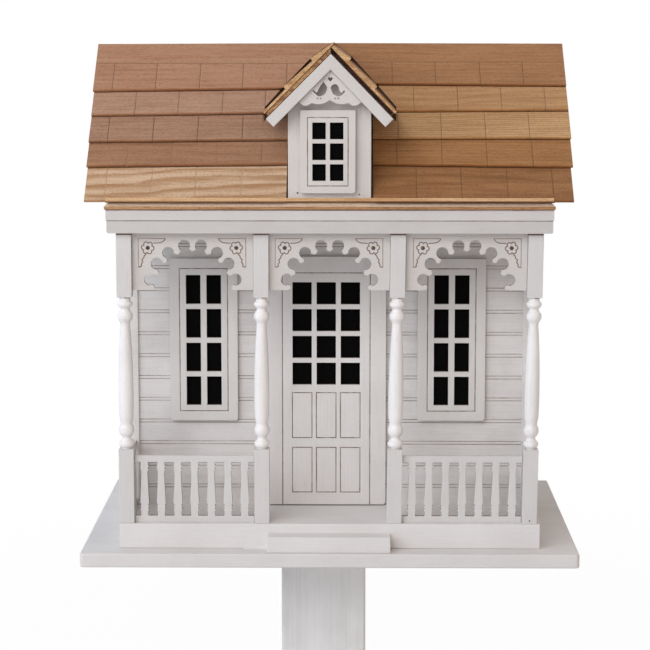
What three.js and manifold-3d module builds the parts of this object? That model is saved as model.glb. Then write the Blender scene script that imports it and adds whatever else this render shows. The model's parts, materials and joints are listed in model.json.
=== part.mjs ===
// A cottage birdhouse: front porch with turned posts, shingled gable roof and a full-height dormer.
// Millimetres, +Z up, front towards -Y. The origin lies in the plane of the mounting post's foot,
// under the middle of the base board.

import * as THREE from 'three';
import { mergeVertices } from 'three/addons/utils/BufferGeometryUtils.js';
import Module from 'manifold-3d';

const wasm = await Module();
wasm.setup();

// Clearances and the fineness of round outlines
const seatGap = 0.3;
const endGap = 0.3;
const ridgeGap = 0.15;
const overrun = 2;
const turningSteps = 16;
const holeSteps = 32;
const smallRoundSteps = 12;
const arcSteps = 4;

// Mounting post: the upper end of it, off the base's centre line
const mountingPostSize = 63.5;
const mountingPostLength = 98.8;
const mountingPostShift = -5.2;

// Base board, floor slab and step
const baseLength = 356;
const baseDepth = 254;
const baseThickness = 10.2;
const baseEdgeRadius = 1.2;
const baseFrontCornerRadius = 3;
const baseRearCornerRadius = 1.6;
const slabLength = 302;
const slabDepth = 220;
const slabThickness = 18;
const stepLength = 88;
const stepDepth = 14;
const stepHeight = 11.5;
const stepShift = -0.5;

// Walls of the house
const wallHeight = 209.5;
const porchDepth = 62;
const sideWallThickness = 9;
const frontWallThickness = 6;
const frontWallSetback = 2;
const rearWallThickness = 9;
const entryHoleDiameter = 38;
const entryHoleHeight = 130;

// Engraved siding: pairs of fine grooves
const sidingPitch = 16.4;
const firstGroovePairHeight = 14.2;
const groovePairSpacing = 2.2;
const grooveWidth = 0.7;
const grooveDepth = 0.4;

// Plates with sawn panes, and the black cards behind them
const plateThickness = 3;
const plateCornerRadius = 2;
const cardThickness = 0.8;
const cardInset = 1.5;
const facadeShift = -2;

// Front windows
const windowSpread = 182.7;
const windowWidth = 50;
const windowHeight = 120.6;
const windowSill = 64.3;
const windowPaneWidth = 10.75;
const windowPaneHeight = 21.4;
const windowMullion = 4.4;
const windowRail = 3.75;
const windowTopRail = 12.1;
const windowLineMargin = 7.3;
const windowColumns = 2;
const windowRows = 4;

// Front door, with its engraved leaf and panels
const doorShift = -1;
const doorSill = 0.9;
const doorWidth = 88.2;
const doorHeight = 185.5;
const doorPaneWidth = 14.2;
const doorPaneHeight = 16.4;
const doorMullion = 3.6;
const doorRail = 3.55;
const doorTopRail = 18.8;
const doorColumns = 3;
const doorRows = 4;
const doorLeafWidth = 64.7;
const doorLeafTopMargin = 11.9;
const doorPanelWidth = 14.5;
const doorPanelHeight = 33.8;
const doorPanelRail = 7.4;
const doorPanelTopMargin = 101.1;
const doorPanelRows = 2;

// Porch posts, turned between two square blocks
const postSize = 10.8;
const postFrontMargin = 0.95;
const postTopGap = 0.4;
const postCount = 4;
const lowerBlockHeight = 54;
const upperBlockHeight = 45.7;
const postFootDrifts = [0, 0, -2.3, -2.3];

// The turning: height as a share of the turned length, radius as a share of half the post
const turningShares = [
  [0, 0.8],
  [0.011, 0.93],
  [0.038, 1.01],
  [0.064, 0.93],
  [0.073, 0.78],
  [0.082, 0.69],
  [0.091, 0.76],
  [0.102, 0.92],
  [0.122, 0.985],
  [0.141, 0.92],
  [0.155, 0.78],
  [0.16, 0.75],
  [0.178, 0.84],
  [0.197, 0.93],
  [0.226, 0.97],
  [0.329, 1],
  [0.439, 0.985],
  [0.548, 0.94],
  [0.658, 0.85],
  [0.75, 0.74],
  [0.804, 0.67],
  [0.835, 0.63],
  [0.85, 0.72],
  [0.865, 0.9],
  [0.883, 1.02],
  [0.901, 0.95],
  [0.914, 0.82],
  [0.923, 0.75],
  [0.934, 0.82],
  [0.945, 0.95],
  [0.963, 1.01],
  [0.982, 0.95],
  [0.996, 0.82],
  [1, 0.8],
];

// Railings sawn from sheet
const sheetThickness = 3;
const railingHeight = 48.8;
const railHeight = 4.8;
const railLap = 0.6;
const balusterPitch = 12;
const balusterWidth = 6.6;
const frontBalusters = 7;
const sideBalusters = 4;

// A baluster: distance down as a share of its length, half width as a share of its widest
const balusterShares = [
  [0, 0.8],
  [0.06, 0.78],
  [0.085, 0.99],
  [0.115, 0.74],
  [0.145, 0.97],
  [0.175, 0.66],
  [0.4, 0.76],
  [0.6, 0.88],
  [0.75, 1],
  [0.785, 0.74],
  [0.815, 0.97],
  [0.845, 0.74],
  [0.875, 0.98],
  [0.91, 0.76],
  [1, 0.8],
];

// Fretwork brackets: an arch of round lobes with a rounded prong between each two
const bracketHeight = 40.8;
const lobeRadius = 4.23;
const prongRadius = 1.8;
const prongDrop = 2.1;
const footProngHeight = 2.1;
const footProngShare = 0.676;
const lobeSpreadShares = [0.139, 0.401, 0.591, 0.7045];
const lobeDepthShares = [0.2255, 0.348, 0.537, 0.814];

// Cornice and roof plate
const corniceLength = 315;
const corniceDepth = 228;
const corniceUpperHeight = 7.6;
const corniceLowerHeight = 9.2;
const corniceStep = 0.8;
const corniceEndStep = 0.5;
const corniceRound = 1.4;
const roofPlateLength = 316.8;
const roofPlateDepth = 230.6;
const roofPlateThickness = 4.6;
const roofPlateBevel = 2.4;

// Main roof: panels that stand on the roof plate, and the golden strip along the front eave
const roofRise = 107;
const roofRun = 112.75;
const roofPanelLength = 316;
const roofPanelThickness = 4;
const roofPanelToe = 1.3;
const eaveStripLength = 313.6;
const eaveStripHeight = 2.3;
const eaveStripThickness = 1.1;
const eaveStripRise = 1.8;

// Shingle planks, each course lapping over the next one down
const shingleThickness = 1.9;
const shingleLap = 8;
const shingleLength = 343;
const eaveButtRise = 2.6;
const leftCourseShares = [0.307, 0.464, 0.638, 0.791, 1.013];
const rightCourseShares = [0.274, 0.446, 0.623, 0.792, 1.013];
const rearCourseShares = [0.27, 0.45, 0.63, 0.81, 1];
const courseLengthShares = [1.012, 1.009, 1.003, 1, 0.999];
const coursesAboveDormerEave = 2;

// Dormer
const dormerWidth = 58.2;
const dormerFrontRun = 114.5;
const dormerFrontThickness = 5.5;
const dormerCheekThickness = 4;
const dormerRise = 103.8;
const dormerPitch = THREE.MathUtils.degToRad(45);
const dormerPanelThickness = 2.5;
const dormerPanelSlope = 62.5;
const dormerRightPanelSetback = 4;
const dormerOverhang = 10.9;
const dormerShingleOverhang = 0.6;
const dormerShingleSlope = 63.5;
const dormerCourseShares = [0.24, 0.655, 1];
const dormerRidgeLap = 3.4;
const dormerRidgeSetback = 1;
const plankToShingleGap = 1;
const plankToCheekGap = 2;
const dormerWindowShift = -1.2;
const dormerSillRise = 7.3;
const dormerWindowWidth = 38.6;
const dormerWindowHeight = 57.9;
const dormerPaneWidth = 9.4;
const dormerPaneHeight = 11.65;
const dormerMullion = 2.9;
const dormerRail = 2.85;
const dormerTopRail = 8.6;
const dormerLineMargin = 5.15;
const dormerColumns = 2;
const dormerRows = 3;

// Bargeboards and the fretwork panel between them
const bargeboardWidth = 7.6;
const bargeboardSpan = 44.2;
const bargeboardThickness = 3;
const fretworkThickness = 2;
const fretworkDrop = 31.8;
const fretworkHalfWidth = 22;
const heartDrop = 17.6;
const heartWidth = 3.2;
const birdLength = 10;
const birdBeakDrop = 23.3;
const leftBeakOffset = 2;
const rightBeakOffset = 0.2;

// Scalloped lower edge, from the middle out: a curve's pull point and its end, in shares of the half width
const scallopShares = [
  [0.29, -0.209, 0.577, -0.091],
  [0.795, -0.289, 1, -0.041],
];

// Birds in outline, from the beak tip over the head to the tail and back, in shares of their length
const leftBirdShares = [
  [0, 0],
  [0.14, 0.2],
  [0.279, 0.4],
  [0.354, 0.267],
  [0.489, 0.09],
  [0.62, -0.13],
  [0.709, -0.35],
  [0.88, -0.26],
  [0.93, -0.18],
  [1, -0.19],
  [1, -0.27],
  [0.9, -0.36],
  [0.822, -0.44],
  [0.62, -0.6],
  [0.42, -0.59],
  [0.266, -0.53],
  [0.14, -0.41],
  [0.064, -0.265],
];
const rightBirdShares = [
  [0, 0],
  [0.113, 0.135],
  [0.2, 0.2],
  [0.312, 0.227],
  [0.43, 0.18],
  [0.532, 0.085],
  [0.624, -0.223],
  [0.72, -0.35],
  [0.8, -0.355],
  [0.87, -0.3],
  [0.9, -0.215],
  [0.98, -0.2],
  [1.02, -0.27],
  [0.97, -0.35],
  [0.844, -0.468],
  [0.68, -0.58],
  [0.489, -0.603],
  [0.269, -0.489],
  [0.15, -0.37],
  [0.092, -0.248],
];

// Clean-out hatch in the rear wall, hung on two pins, and the turn button below it
const hatchOpeningWidth = 100;
const hatchOpeningHeight = 118;
const hatchOpeningSill = 24;
const hatchThickness = 6;
const hatchSideGap = 0.8;
const hatchTopGap = 1.2;
const hatchBottomGap = 0.8;
const hatchLip = 5;
const hatchPivotDrop = 6;
const pinRadius = 0.8;
const pinClearance = 0.3;
const pinLength = 16;
const buttonLength = 30;
const buttonWidth = 8;
const buttonThickness = 3;
const buttonDrop = 10;
const screwRadius = 1.5;
const screwHeadRadius = 3.2;
const screwHeadHeight = 1.6;
const screwDepth = 7;

// Levels above the base board's underside, and places that several pieces share
const baseTop = baseThickness;
const floorTop = baseTop + slabThickness;
const wallTop = floorTop + wallHeight;
const corniceTop = wallTop + corniceLowerHeight + corniceUpperHeight;
const roofPlateTop = corniceTop + roofPlateThickness;
const slabFront = -slabDepth / 2;
const slabBack = slabDepth / 2;
const wallFront = slabFront + porchDepth;
const facade = wallFront + frontWallSetback;
const rearWallInside = slabBack - rearWallThickness;
const innerHalfLength = slabLength / 2 - sideWallThickness;
const postY = slabFront + postFrontMargin + postSize / 2;
const endPostX = slabLength / 2 - postSize / 2;
const postPitch = (2 * endPostX) / (postCount - 1);
const baySpan = postPitch - postSize;
const ridgeTop = roofPlateTop + roofRise;
const roofAngle = Math.atan2(roofRise, roofRun);
const roofSlope = Math.tan(roofAngle);
const roofSlopeLength = roofRun / Math.cos(roofAngle);
const roofPanelDrop = roofPanelThickness / Math.cos(roofAngle);
const dormerFront = -dormerFrontRun;
const dormerUnderside = roofPlateTop + dormerRise;
const dormerPanelTop = dormerUnderside + dormerPanelThickness / Math.cos(dormerPitch);
const dormerRoofFront = dormerFront - dormerOverhang;
const bargeboardTop = dormerUnderside - seatGap / Math.cos(dormerPitch);
const hatchBottom = floorTop + hatchOpeningSill + hatchBottomGap;
const hatchTop = floorTop + hatchOpeningSill + hatchOpeningHeight - hatchTopGap;
const hatchPivotY = slabBack - hatchThickness / 2;
const hatchPivotZ = hatchTop - hatchPivotDrop;
const buttonZ = floorTop + hatchOpeningSill - buttonDrop;

// Materials
function finish(color, roughness, metalness = 0) {
  return new THREE.MeshStandardMaterial({ color, roughness, metalness });
}

const whitePaint = finish(0xe6e2dd, 0.6);
const postPaint = finish(0xc9cac8, 0.65);
const blackCard = finish(0x0b0b0c, 0.8);
const leftShingleWood = finish(0xa87d64, 0.75);
const rightShingleWood = finish(0x9c6d46, 0.75);
const paleShingleWood = finish(0xc79c6c, 0.75);
const plywood = finish(0xd0a36b, 0.75);
const steel = finish(0x9a9a98, 0.4, 0.9);
const brass = finish(0xb08d4c, 0.35, 0.9);

// Outlines are lists of points in two of the axes, in X, Y, Z order
function rectangle(u0, v0, u1, v1) {
  return [
    [u0, v0],
    [u1, v0],
    [u1, v1],
    [u0, v1],
  ];
}

function arc(u, v, radius, from, to, steps) {
  const points = [];
  for (let i = 0; i <= steps; i += 1) {
    const turn = from + ((to - from) * i) / steps;
    points.push([u + radius * Math.cos(turn), v + radius * Math.sin(turn)]);
  }
  return points;
}

function circle(u, v, radius, steps) {
  return arc(u, v, radius, 0, 2 * Math.PI, steps).slice(1);
}

// A curve from one point to another, drawn towards a third, without its first point
function curve([u0, v0], [u1, v1], [u2, v2], steps) {
  const points = [];
  for (let i = 1; i <= steps; i += 1) {
    const t = i / steps;
    const a = (1 - t) * (1 - t);
    const b = 2 * t * (1 - t);
    const c = t * t;
    points.push([a * u0 + b * u1 + c * u2, a * v0 + b * v1 + c * v2]);
  }
  return points;
}

// A rectangle that may have rounded lower corners and rounded upper corners
function roundedRectangle(u0, v0, u1, v1, lowerRadius, upperRadius) {
  const low = lowerRadius;
  const high = upperRadius;
  const quarter = Math.PI / 2;
  return [
    ...(low > 0 ? arc(u1 - low, v0 + low, low, -quarter, 0, arcSteps) : [[u1, v0]]),
    ...(high > 0 ? arc(u1 - high, v1 - high, high, 0, quarter, arcSteps) : [[u1, v1]]),
    ...(high > 0 ? arc(u0 + high, v1 - high, high, quarter, 2 * quarter, arcSteps) : [[u0, v1]]),
    ...(low > 0 ? arc(u0 + low, v0 + low, low, 2 * quarter, 3 * quarter, arcSteps) : [[u0, v0]]),
  ];
}

function vectors(outline) {
  return outline.map(([u, v]) => new THREE.Vector2(u, v));
}

function shapeOf(outline, holes = []) {
  const shape = new THREE.Shape(vectors(outline));
  for (const hole of holes) shape.holes.push(new THREE.Path(vectors(hole)));
  return shape;
}

// A straight prism of an outline along one axis
function prism(outline, axis, from, to, holes = []) {
  const options = { depth: to - from, bevelEnabled: false };
  const geometry = new THREE.ExtrudeGeometry(shapeOf(outline, holes), options);
  const place = geometry.attributes.position;
  for (let i = 0; i < place.count; i += 1) {
    const u = place.getX(i);
    const v = place.getY(i);
    const w = place.getZ(i);
    if (axis === 'x') place.setXYZ(i, from + w, u, v);
    if (axis === 'y') place.setXYZ(i, u, to - w, v);
    if (axis === 'z') place.setXYZ(i, u, v, from + w);
  }
  geometry.computeVertexNormals();
  return geometry;
}

function block([x0, y0, z0], [x1, y1, z1]) {
  return prism(rectangle(x0, y0, x1, y1), 'z', z0, z1);
}

// The span between two signed distances, in rising order
function span(a, b) {
  return [Math.min(a, b), Math.max(a, b)];
}

// A body turned round +Z from pairs of height and radius, closed on the axis at both ends
function turned(pairs, steps) {
  const profile = [[pairs[0][0], 0], ...pairs, [pairs[pairs.length - 1][0], 0]];
  const points = profile.map(([height, radius]) => new THREE.Vector2(radius, height));
  return new THREE.LatheGeometry(points, steps).rotateX(Math.PI / 2);
}

// Solids for cuts and joins; triangles that collapse on a turning's axis are left out
function solidFrom(geometry) {
  const bare = geometry.clone();
  bare.deleteAttribute('normal');
  bare.deleteAttribute('uv');
  const merged = mergeVertices(bare);
  const corners = [];
  for (let i = 0; i < merged.index.count; i += 3) {
    const [a, b, c] = [0, 1, 2].map((k) => merged.index.getX(i + k));
    if (a !== b && b !== c && c !== a) corners.push(a, b, c);
  }
  return new wasm.Manifold(
    new wasm.Mesh({
      numProp: 3,
      vertProperties: new Float32Array(merged.attributes.position.array),
      triVerts: new Uint32Array(corners),
    }),
  );
}

function geometryFrom(solid) {
  const mesh = solid.getMesh();
  const geometry = new THREE.BufferGeometry();
  geometry.setAttribute('position', new THREE.BufferAttribute(mesh.vertProperties, 3));
  geometry.setIndex(new THREE.BufferAttribute(mesh.triVerts, 1));
  geometry.computeVertexNormals();
  return geometry;
}

function cut(geometry, cutters) {
  let solid = solidFrom(geometry);
  for (const cutter of cutters) solid = solid.subtract(solidFrom(cutter));
  return geometryFrom(solid);
}

function join(geometries) {
  let solid = solidFrom(geometries[0]);
  for (const next of geometries.slice(1)) solid = solid.add(solidFrom(next));
  return geometryFrom(solid);
}

function add(group, name, geometry, material, x = 0, y = 0, z = 0) {
  const mesh = new THREE.Mesh(geometry, material);
  mesh.name = name;
  mesh.position.set(x, y, z);
  group.add(mesh);
  return mesh;
}

// Siding grooves as cutters: bars of triangular section along X or Y that bite into a wall's face
function sidingGrooves(axis, face, inward, from, to, low, high) {
  const bars = [];
  const firstPair = floorTop + firstGroovePairHeight;
  for (let z = firstPair; z < high; z += sidingPitch) {
    for (const level of [z - groovePairSpacing / 2, z + groovePairSpacing / 2]) {
      if (level - grooveWidth < low || level + grooveWidth > high) continue;
      const outline = [
        [face - inward * grooveDepth, level - grooveWidth],
        [face + inward * grooveDepth, level],
        [face - inward * grooveDepth, level + grooveWidth],
      ];
      bars.push(prism(outline, axis, from - overrun, to + overrun));
    }
  }
  return bars;
}

// Mounting post, base board, floor slab and step
function baseBoard() {
  const u = baseLength / 2 - baseEdgeRadius;
  const v = baseDepth / 2 - baseEdgeRadius;
  const frontRadius = baseFrontCornerRadius - baseEdgeRadius;
  const rearRadius = baseRearCornerRadius - baseEdgeRadius;
  const geometry = new THREE.ExtrudeGeometry(
    shapeOf(roundedRectangle(-u, -v, u, v, frontRadius, rearRadius)),
    {
      depth: baseThickness - 2 * baseEdgeRadius,
      bevelSize: baseEdgeRadius,
      bevelThickness: baseEdgeRadius,
      bevelSegments: arcSteps,
    },
  );
  return geometry.translate(0, 0, baseEdgeRadius);
}

function buildBase(house) {
  const half = mountingPostSize / 2;
  const post = block([-half, -half, -mountingPostLength], [half, half, 0]);
  add(house, 'mounting_post', post, postPaint, mountingPostShift);
  add(house, 'base_board', baseBoard(), whitePaint);
  const slab = block([-slabLength / 2, slabFront, 0], [slabLength / 2, slabBack, slabThickness]);
  add(house, 'floor_slab', slab, whitePaint, 0, 0, baseTop);
  const step = block([-stepLength / 2, -stepDepth, 0], [stepLength / 2, 0, stepHeight]);
  add(house, 'front_step', step, whitePaint, stepShift, slabFront, baseTop);
}

// Walls
function frontWall() {
  const back = facade + frontWallThickness;
  const board = block([-innerHalfLength, facade, floorTop], [innerHalfLength, back, wallTop]);
  return cut(board, sidingGrooves('x', facade, 1, -innerHalfLength, innerHalfLength, floorTop, wallTop));
}

function sideWall(side, cutters) {
  const outer = (side * slabLength) / 2;
  const [left, right] = span(outer, side * innerHalfLength);
  const board = block([left, wallFront, floorTop], [right, slabBack, wallTop]);
  const grooves = sidingGrooves('y', outer, -side, wallFront, slabBack, floorTop, wallTop);
  return cut(board, [...grooves, ...cutters]);
}

function entryHole() {
  const middle = (facade + frontWallThickness + rearWallInside) / 2;
  const outline = circle(middle, floorTop + entryHoleHeight, entryHoleDiameter / 2, holeSteps);
  return prism(outline, 'x', -slabLength / 2 - overrun, -innerHalfLength + overrun);
}

function rearWall() {
  const board = block([-innerHalfLength, rearWallInside, floorTop], [innerHalfLength, slabBack, wallTop]);
  const half = hatchOpeningWidth / 2;
  const sill = floorTop + hatchOpeningSill;
  const head = sill + hatchOpeningHeight;
  const outside = slabBack + overrun;
  const way = block([-half, rearWallInside - overrun, sill + hatchLip], [half, outside, head]);
  const rebateFloor = slabBack - hatchThickness - seatGap;
  const rebate = block([-half, rebateFloor, sill], [half, outside, sill + hatchLip + overrun]);
  const screwHole = circle(0, buttonZ, screwRadius + seatGap, smallRoundSteps);
  const screwBore = prism(screwHole, 'y', slabBack - screwDepth - seatGap, outside);
  const pinHole = circle(hatchPivotY, hatchPivotZ, pinRadius + pinClearance, smallRoundSteps);
  const pinReach = half + pinLength / 2 + endGap;
  const pinBores = prism(pinHole, 'x', -pinReach, pinReach);
  const grooves = sidingGrooves('x', slabBack, -1, -innerHalfLength, innerHalfLength, floorTop, wallTop);
  return cut(board, [...grooves, way, rebate, screwBore, pinBores]);
}

function buildWalls(house) {
  add(house, 'front_wall', frontWall(), whitePaint);
  add(house, 'left_wall', sideWall(-1, [entryHole()]), whitePaint);
  add(house, 'right_wall', sideWall(1, []), whitePaint);
  add(house, 'rear_wall', rearWall(), whitePaint);
}

// Rows of panes in a plate that stands on v = 0, the group centred on u = 0
function panes(columns, rows, width, height, mullion, rail, top) {
  const outlines = [];
  const groupWidth = columns * width + (columns - 1) * mullion;
  for (let row = 0; row < rows; row += 1) {
    for (let column = 0; column < columns; column += 1) {
      const left = -groupWidth / 2 + column * (width + mullion);
      const high = top - row * (height + rail);
      outlines.push(rectangle(left, high - height, left + width, high));
    }
  }
  return outlines;
}

// An engraved rectangle as a cutter for a plate's front face
function engravedRing(u0, v0, u1, v1) {
  const half = grooveWidth / 2;
  const outer = rectangle(u0 - half, v0 - half, u1 + half, v1 + half);
  const inner = rectangle(u0 + half, v0 + half, u1 - half, v1 - half);
  return prism(outer, 'y', -plateThickness - overrun, -plateThickness + grooveDepth, [inner]);
}

function plate(width, height, holes, rings) {
  const outline = roundedRectangle(-width / 2, 0, width / 2, height, plateCornerRadius, 0);
  const ways = holes.map((hole) => prism(hole, 'y', -plateThickness - overrun, overrun));
  return cut(prism(outline, 'y', -plateThickness, 0), [...ways, ...rings]);
}

function card(width, height) {
  const outline = rectangle(-width / 2 + cardInset, cardInset, width / 2 - cardInset, height - cardInset);
  return prism(outline, 'y', -cardThickness, 0);
}

function windowPlate() {
  const top = windowHeight - windowTopRail;
  const holes = panes(
    windowColumns,
    windowRows,
    windowPaneWidth,
    windowPaneHeight,
    windowMullion,
    windowRail,
    top,
  );
  const half = windowWidth / 2 - windowLineMargin;
  const ring = engravedRing(-half, windowLineMargin, half, windowHeight - windowLineMargin);
  return plate(windowWidth, windowHeight, holes, [ring]);
}

function doorPlate() {
  const top = doorHeight - doorTopRail;
  const holes = panes(doorColumns, doorRows, doorPaneWidth, doorPaneHeight, doorMullion, doorRail, top);
  const leafHalf = doorLeafWidth / 2;
  const rings = [engravedRing(-leafHalf, -overrun, leafHalf, doorHeight - doorLeafTopMargin)];
  const panels = panes(
    doorColumns,
    doorPanelRows,
    doorPanelWidth,
    doorPanelHeight,
    doorPaneWidth + doorMullion - doorPanelWidth,
    doorPanelRail,
    doorHeight - doorPanelTopMargin,
  );
  for (const [[u0, v0], , [u1, v1]] of panels) rings.push(engravedRing(u0, v0, u1, v1));
  return plate(doorWidth, doorHeight, holes, rings);
}

function buildFacade(house) {
  const front = new THREE.Group();
  front.position.set(facadeShift, facade, floorTop);
  house.add(front);
  for (const [name, x] of [['left_window', -windowSpread / 2], ['right_window', windowSpread / 2]]) {
    add(front, `${name}_card`, card(windowWidth, windowHeight), blackCard, x, 0, windowSill);
    add(front, `${name}_plate`, windowPlate(), whitePaint, x, -cardThickness, windowSill);
  }
  add(front, 'door_card', card(doorWidth, doorHeight), blackCard, doorShift, 0, doorSill);
  add(front, 'door_plate', doorPlate(), whitePaint, doorShift, -cardThickness, doorSill);
}

// Moves the lower parts of a geometry along X, as the feet of the posts at its left and right end
// have drifted; the geometry's own z = 0 lies at a height above the floor
function lean(geometry, width, above, leftDrift, rightDrift) {
  const place = geometry.attributes.position;
  for (let i = 0; i < place.count; i += 1) {
    const down = 1 - (place.getZ(i) + above) / wallHeight;
    const along = place.getX(i) / width + 0.5;
    const drift = leftDrift + (rightDrift - leftDrift) * along;
    place.setX(i, place.getX(i) + drift * down);
  }
  geometry.computeVertexNormals();
  return geometry;
}

// Porch posts, railings and brackets
function porchPost() {
  const height = wallHeight - postTopGap;
  const half = postSize / 2;
  const turnedLength = height - lowerBlockHeight - upperBlockHeight;
  const middle = turningShares.map(([up, out]) => [lowerBlockHeight + up * turnedLength, out * half]);
  const first = middle[0];
  const last = middle[middle.length - 1];
  const spigots = [[first[0] - overrun, first[1]], ...middle, [last[0] + overrun, last[1]]];
  return join([
    block([-half, -half, 0], [half, half, lowerBlockHeight]),
    turned(spigots, turningSteps),
    block([-half, -half, height - upperBlockHeight], [half, half, height]),
  ]);
}

// Railings and brackets stand in the XZ plane, half their sheet on each side of y = 0
function sheet(outline) {
  return prism(outline, 'y', -sheetThickness / 2, sheetThickness / 2);
}

function baluster(x) {
  const high = railingHeight - railHeight + railLap;
  const length = high - railHeight + railLap;
  const right = balusterShares.map(([down, out]) => [x + (out * balusterWidth) / 2, high - down * length]);
  const left = right.map(([u, v]) => [2 * x - u, v]);
  return sheet([...right, ...left.reverse()]);
}

function railing(length, count) {
  const half = length / 2 - endGap;
  const parts = [
    sheet(rectangle(-half, 0, half, railHeight)),
    sheet(rectangle(-half, railingHeight - railHeight, half, railingHeight)),
  ];
  for (let i = 0; i < count; i += 1) parts.push(baluster((i - (count - 1) / 2) * balusterPitch));
  return join(parts);
}

function lobeCentres() {
  const right = lobeSpreadShares.map((share, i) => [
    (share * baySpan) / 2,
    -lobeDepthShares[i] * bracketHeight,
  ]);
  const left = right.map(([x, z]) => [-x, z]);
  return [...left.reverse(), ...right];
}

// Prongs stand inward of the middle between two lobes, and one at each foot
function prongCentres() {
  const lobes = lobeCentres();
  const foot = (footProngShare * baySpan) / 2;
  const prongs = [[-foot, footProngHeight - bracketHeight]];
  for (let i = 0; i < lobes.length - 1; i += 1) {
    const [ax, az] = lobes[i];
    const [bx, bz] = lobes[i + 1];
    const length = Math.hypot(bx - ax, bz - az);
    const shiftX = ((bz - az) / length) * prongDrop;
    const shiftZ = ((ax - bx) / length) * prongDrop;
    prongs.push([(ax + bx) / 2 + shiftX, (az + bz) / 2 + shiftZ]);
  }
  prongs.push([foot, footProngHeight - bracketHeight]);
  return prongs;
}

function bracket() {
  const half = baySpan / 2 - endGap;
  const through = (outline) => prism(outline, 'y', -sheetThickness, sheetThickness);
  const prongs = prongCentres();
  const below = -bracketHeight - overrun;
  const arch = [[prongs[0][0], below], ...prongs, [prongs[prongs.length - 1][0], below]];
  const lobes = lobeCentres().map(([x, z]) => through(circle(x, z, lobeRadius, holeSteps)));
  const opened = cut(sheet(rectangle(-half, -bracketHeight, half, 0)), [through(arch), ...lobes]);
  const tips = prongs.map(([x, z]) => sheet(circle(x, z, prongRadius, smallRoundSteps)));
  return join([opened, ...tips]);
}

function buildPorch(house) {
  const porch = new THREE.Group();
  porch.position.set(0, postY, floorTop);
  house.add(porch);
  for (let i = 0; i < postCount; i += 1) {
    const post = lean(porchPost(), postSize, 0, postFootDrifts[i], postFootDrifts[i]);
    add(porch, `porch_post_${i + 1}`, post, whitePaint, -endPostX + i * postPitch);
  }
  const bays = [0, 1, 2].map((i) => [postFootDrifts[i], postFootDrifts[i + 1]]);
  for (const [name, i] of [['front_railing_left', 0], ['front_railing_right', 2]]) {
    const geometry = lean(railing(baySpan, frontBalusters), baySpan, 0, ...bays[i]);
    add(porch, name, geometry, whitePaint, (i - 1) * postPitch);
  }
  const postBack = postSize / 2;
  const sideSpan = wallFront - postY - postBack;
  for (const [name, side] of [['side_railing_left', -1], ['side_railing_right', 1]]) {
    const geometry = railing(sideSpan, sideBalusters);
    const drift = side < 0 ? postFootDrifts[0] : postFootDrifts[postCount - 1];
    const rail = add(porch, name, geometry, whitePaint, side * endPostX + drift, postBack + sideSpan / 2);
    rail.rotation.z = Math.PI / 2;
  }
  ['bracket_left', 'bracket_centre', 'bracket_right'].forEach((name, i) => {
    const hung = wallHeight - endGap;
    add(porch, name, lean(bracket(), baySpan, hung, ...bays[i]), whitePaint, (i - 1) * postPitch, 0, hung);
  });
}

// Cornice and roof plate
function cornice() {
  const lowHalf = corniceLength / 2 - corniceEndStep;
  const lowDepth = corniceDepth / 2 - corniceStep;
  const lowTop = corniceLowerHeight + corniceStep;
  const highTop = corniceLowerHeight + corniceUpperHeight;
  const low = roundedRectangle(-lowHalf, 0, lowHalf, lowTop, corniceRound, 0);
  return join([
    prism(low, 'y', -lowDepth, lowDepth),
    block(
      [-corniceLength / 2, -corniceDepth / 2, corniceLowerHeight],
      [corniceLength / 2, corniceDepth / 2, highTop],
    ),
  ]);
}

function bevelledSection(half, height) {
  return [
    [-half, 0],
    [half, 0],
    [half, height - roofPlateBevel],
    [half - roofPlateBevel, height],
    [-half + roofPlateBevel, height],
    [-half, height - roofPlateBevel],
  ];
}

function roofPlate() {
  const halfLength = roofPlateLength / 2;
  const halfDepth = roofPlateDepth / 2;
  const along = prism(bevelledSection(halfDepth, roofPlateThickness), 'x', -halfLength, halfLength);
  const across = prism(bevelledSection(halfLength, roofPlateThickness), 'y', -halfDepth, halfDepth);
  return geometryFrom(solidFrom(along).intersect(solidFrom(across)));
}

// A main roof panel: plumb cut at the ridge, level cut where it stands on the plate
function roofPanel(side) {
  const toe = roofRun - roofPanelToe;
  const heel = roofRun - roofPanelDrop / roofSlope;
  const outline = [
    [side * ridgeGap, ridgeTop - ridgeGap * roofSlope],
    [side * toe, ridgeTop - toe * roofSlope],
    [side * toe, roofPlateTop],
    [side * heel, roofPlateTop],
    [side * ridgeGap, ridgeTop - roofPanelDrop - ridgeGap * roofSlope],
  ];
  return prism(outline, 'x', -roofPanelLength / 2, roofPanelLength / 2);
}

function gable(side) {
  const peak = ridgeTop - roofPanelDrop - seatGap / Math.cos(roofAngle);
  const reach = (peak - roofPlateTop) / roofSlope;
  const outline = [
    [-reach, roofPlateTop],
    [reach, roofPlateTop],
    [0, peak],
  ];
  const outer = (side * slabLength) / 2;
  const [left, right] = span(outer, side * innerHalfLength);
  const grooves = sidingGrooves('y', outer, -side, -reach, reach, roofPlateTop, peak);
  return cut(prism(outline, 'x', left, right), grooves);
}

// A point on a roof slope: s runs down it from the ridge, h stands square off the panel's top
function slopePoint(ridge, angle, side, s, h) {
  const out = s * Math.cos(angle) + h * Math.sin(angle);
  return [side * out, ridge - s * Math.sin(angle) + h * Math.cos(angle)];
}

// Shingle courses: the start and the butt of each down the slope, and its butt's rise off the panel
function courseLayout(shares, slopeLength, lowestRise) {
  const courses = shares.map((share, i) => ({
    upper: i === 0 ? 0 : shares[i - 1] * slopeLength - shingleLap,
    butt: share * slopeLength,
    rise: lowestRise,
  }));
  for (let i = courses.length - 2; i >= 0; i -= 1) {
    courses[i].rise = riseAt(courses[i + 1], courses[i].butt) + shingleThickness + seatGap;
  }
  return courses;
}

function riseAt(course, s) {
  return (course.rise * (s - course.upper)) / (course.butt - course.upper);
}

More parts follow.
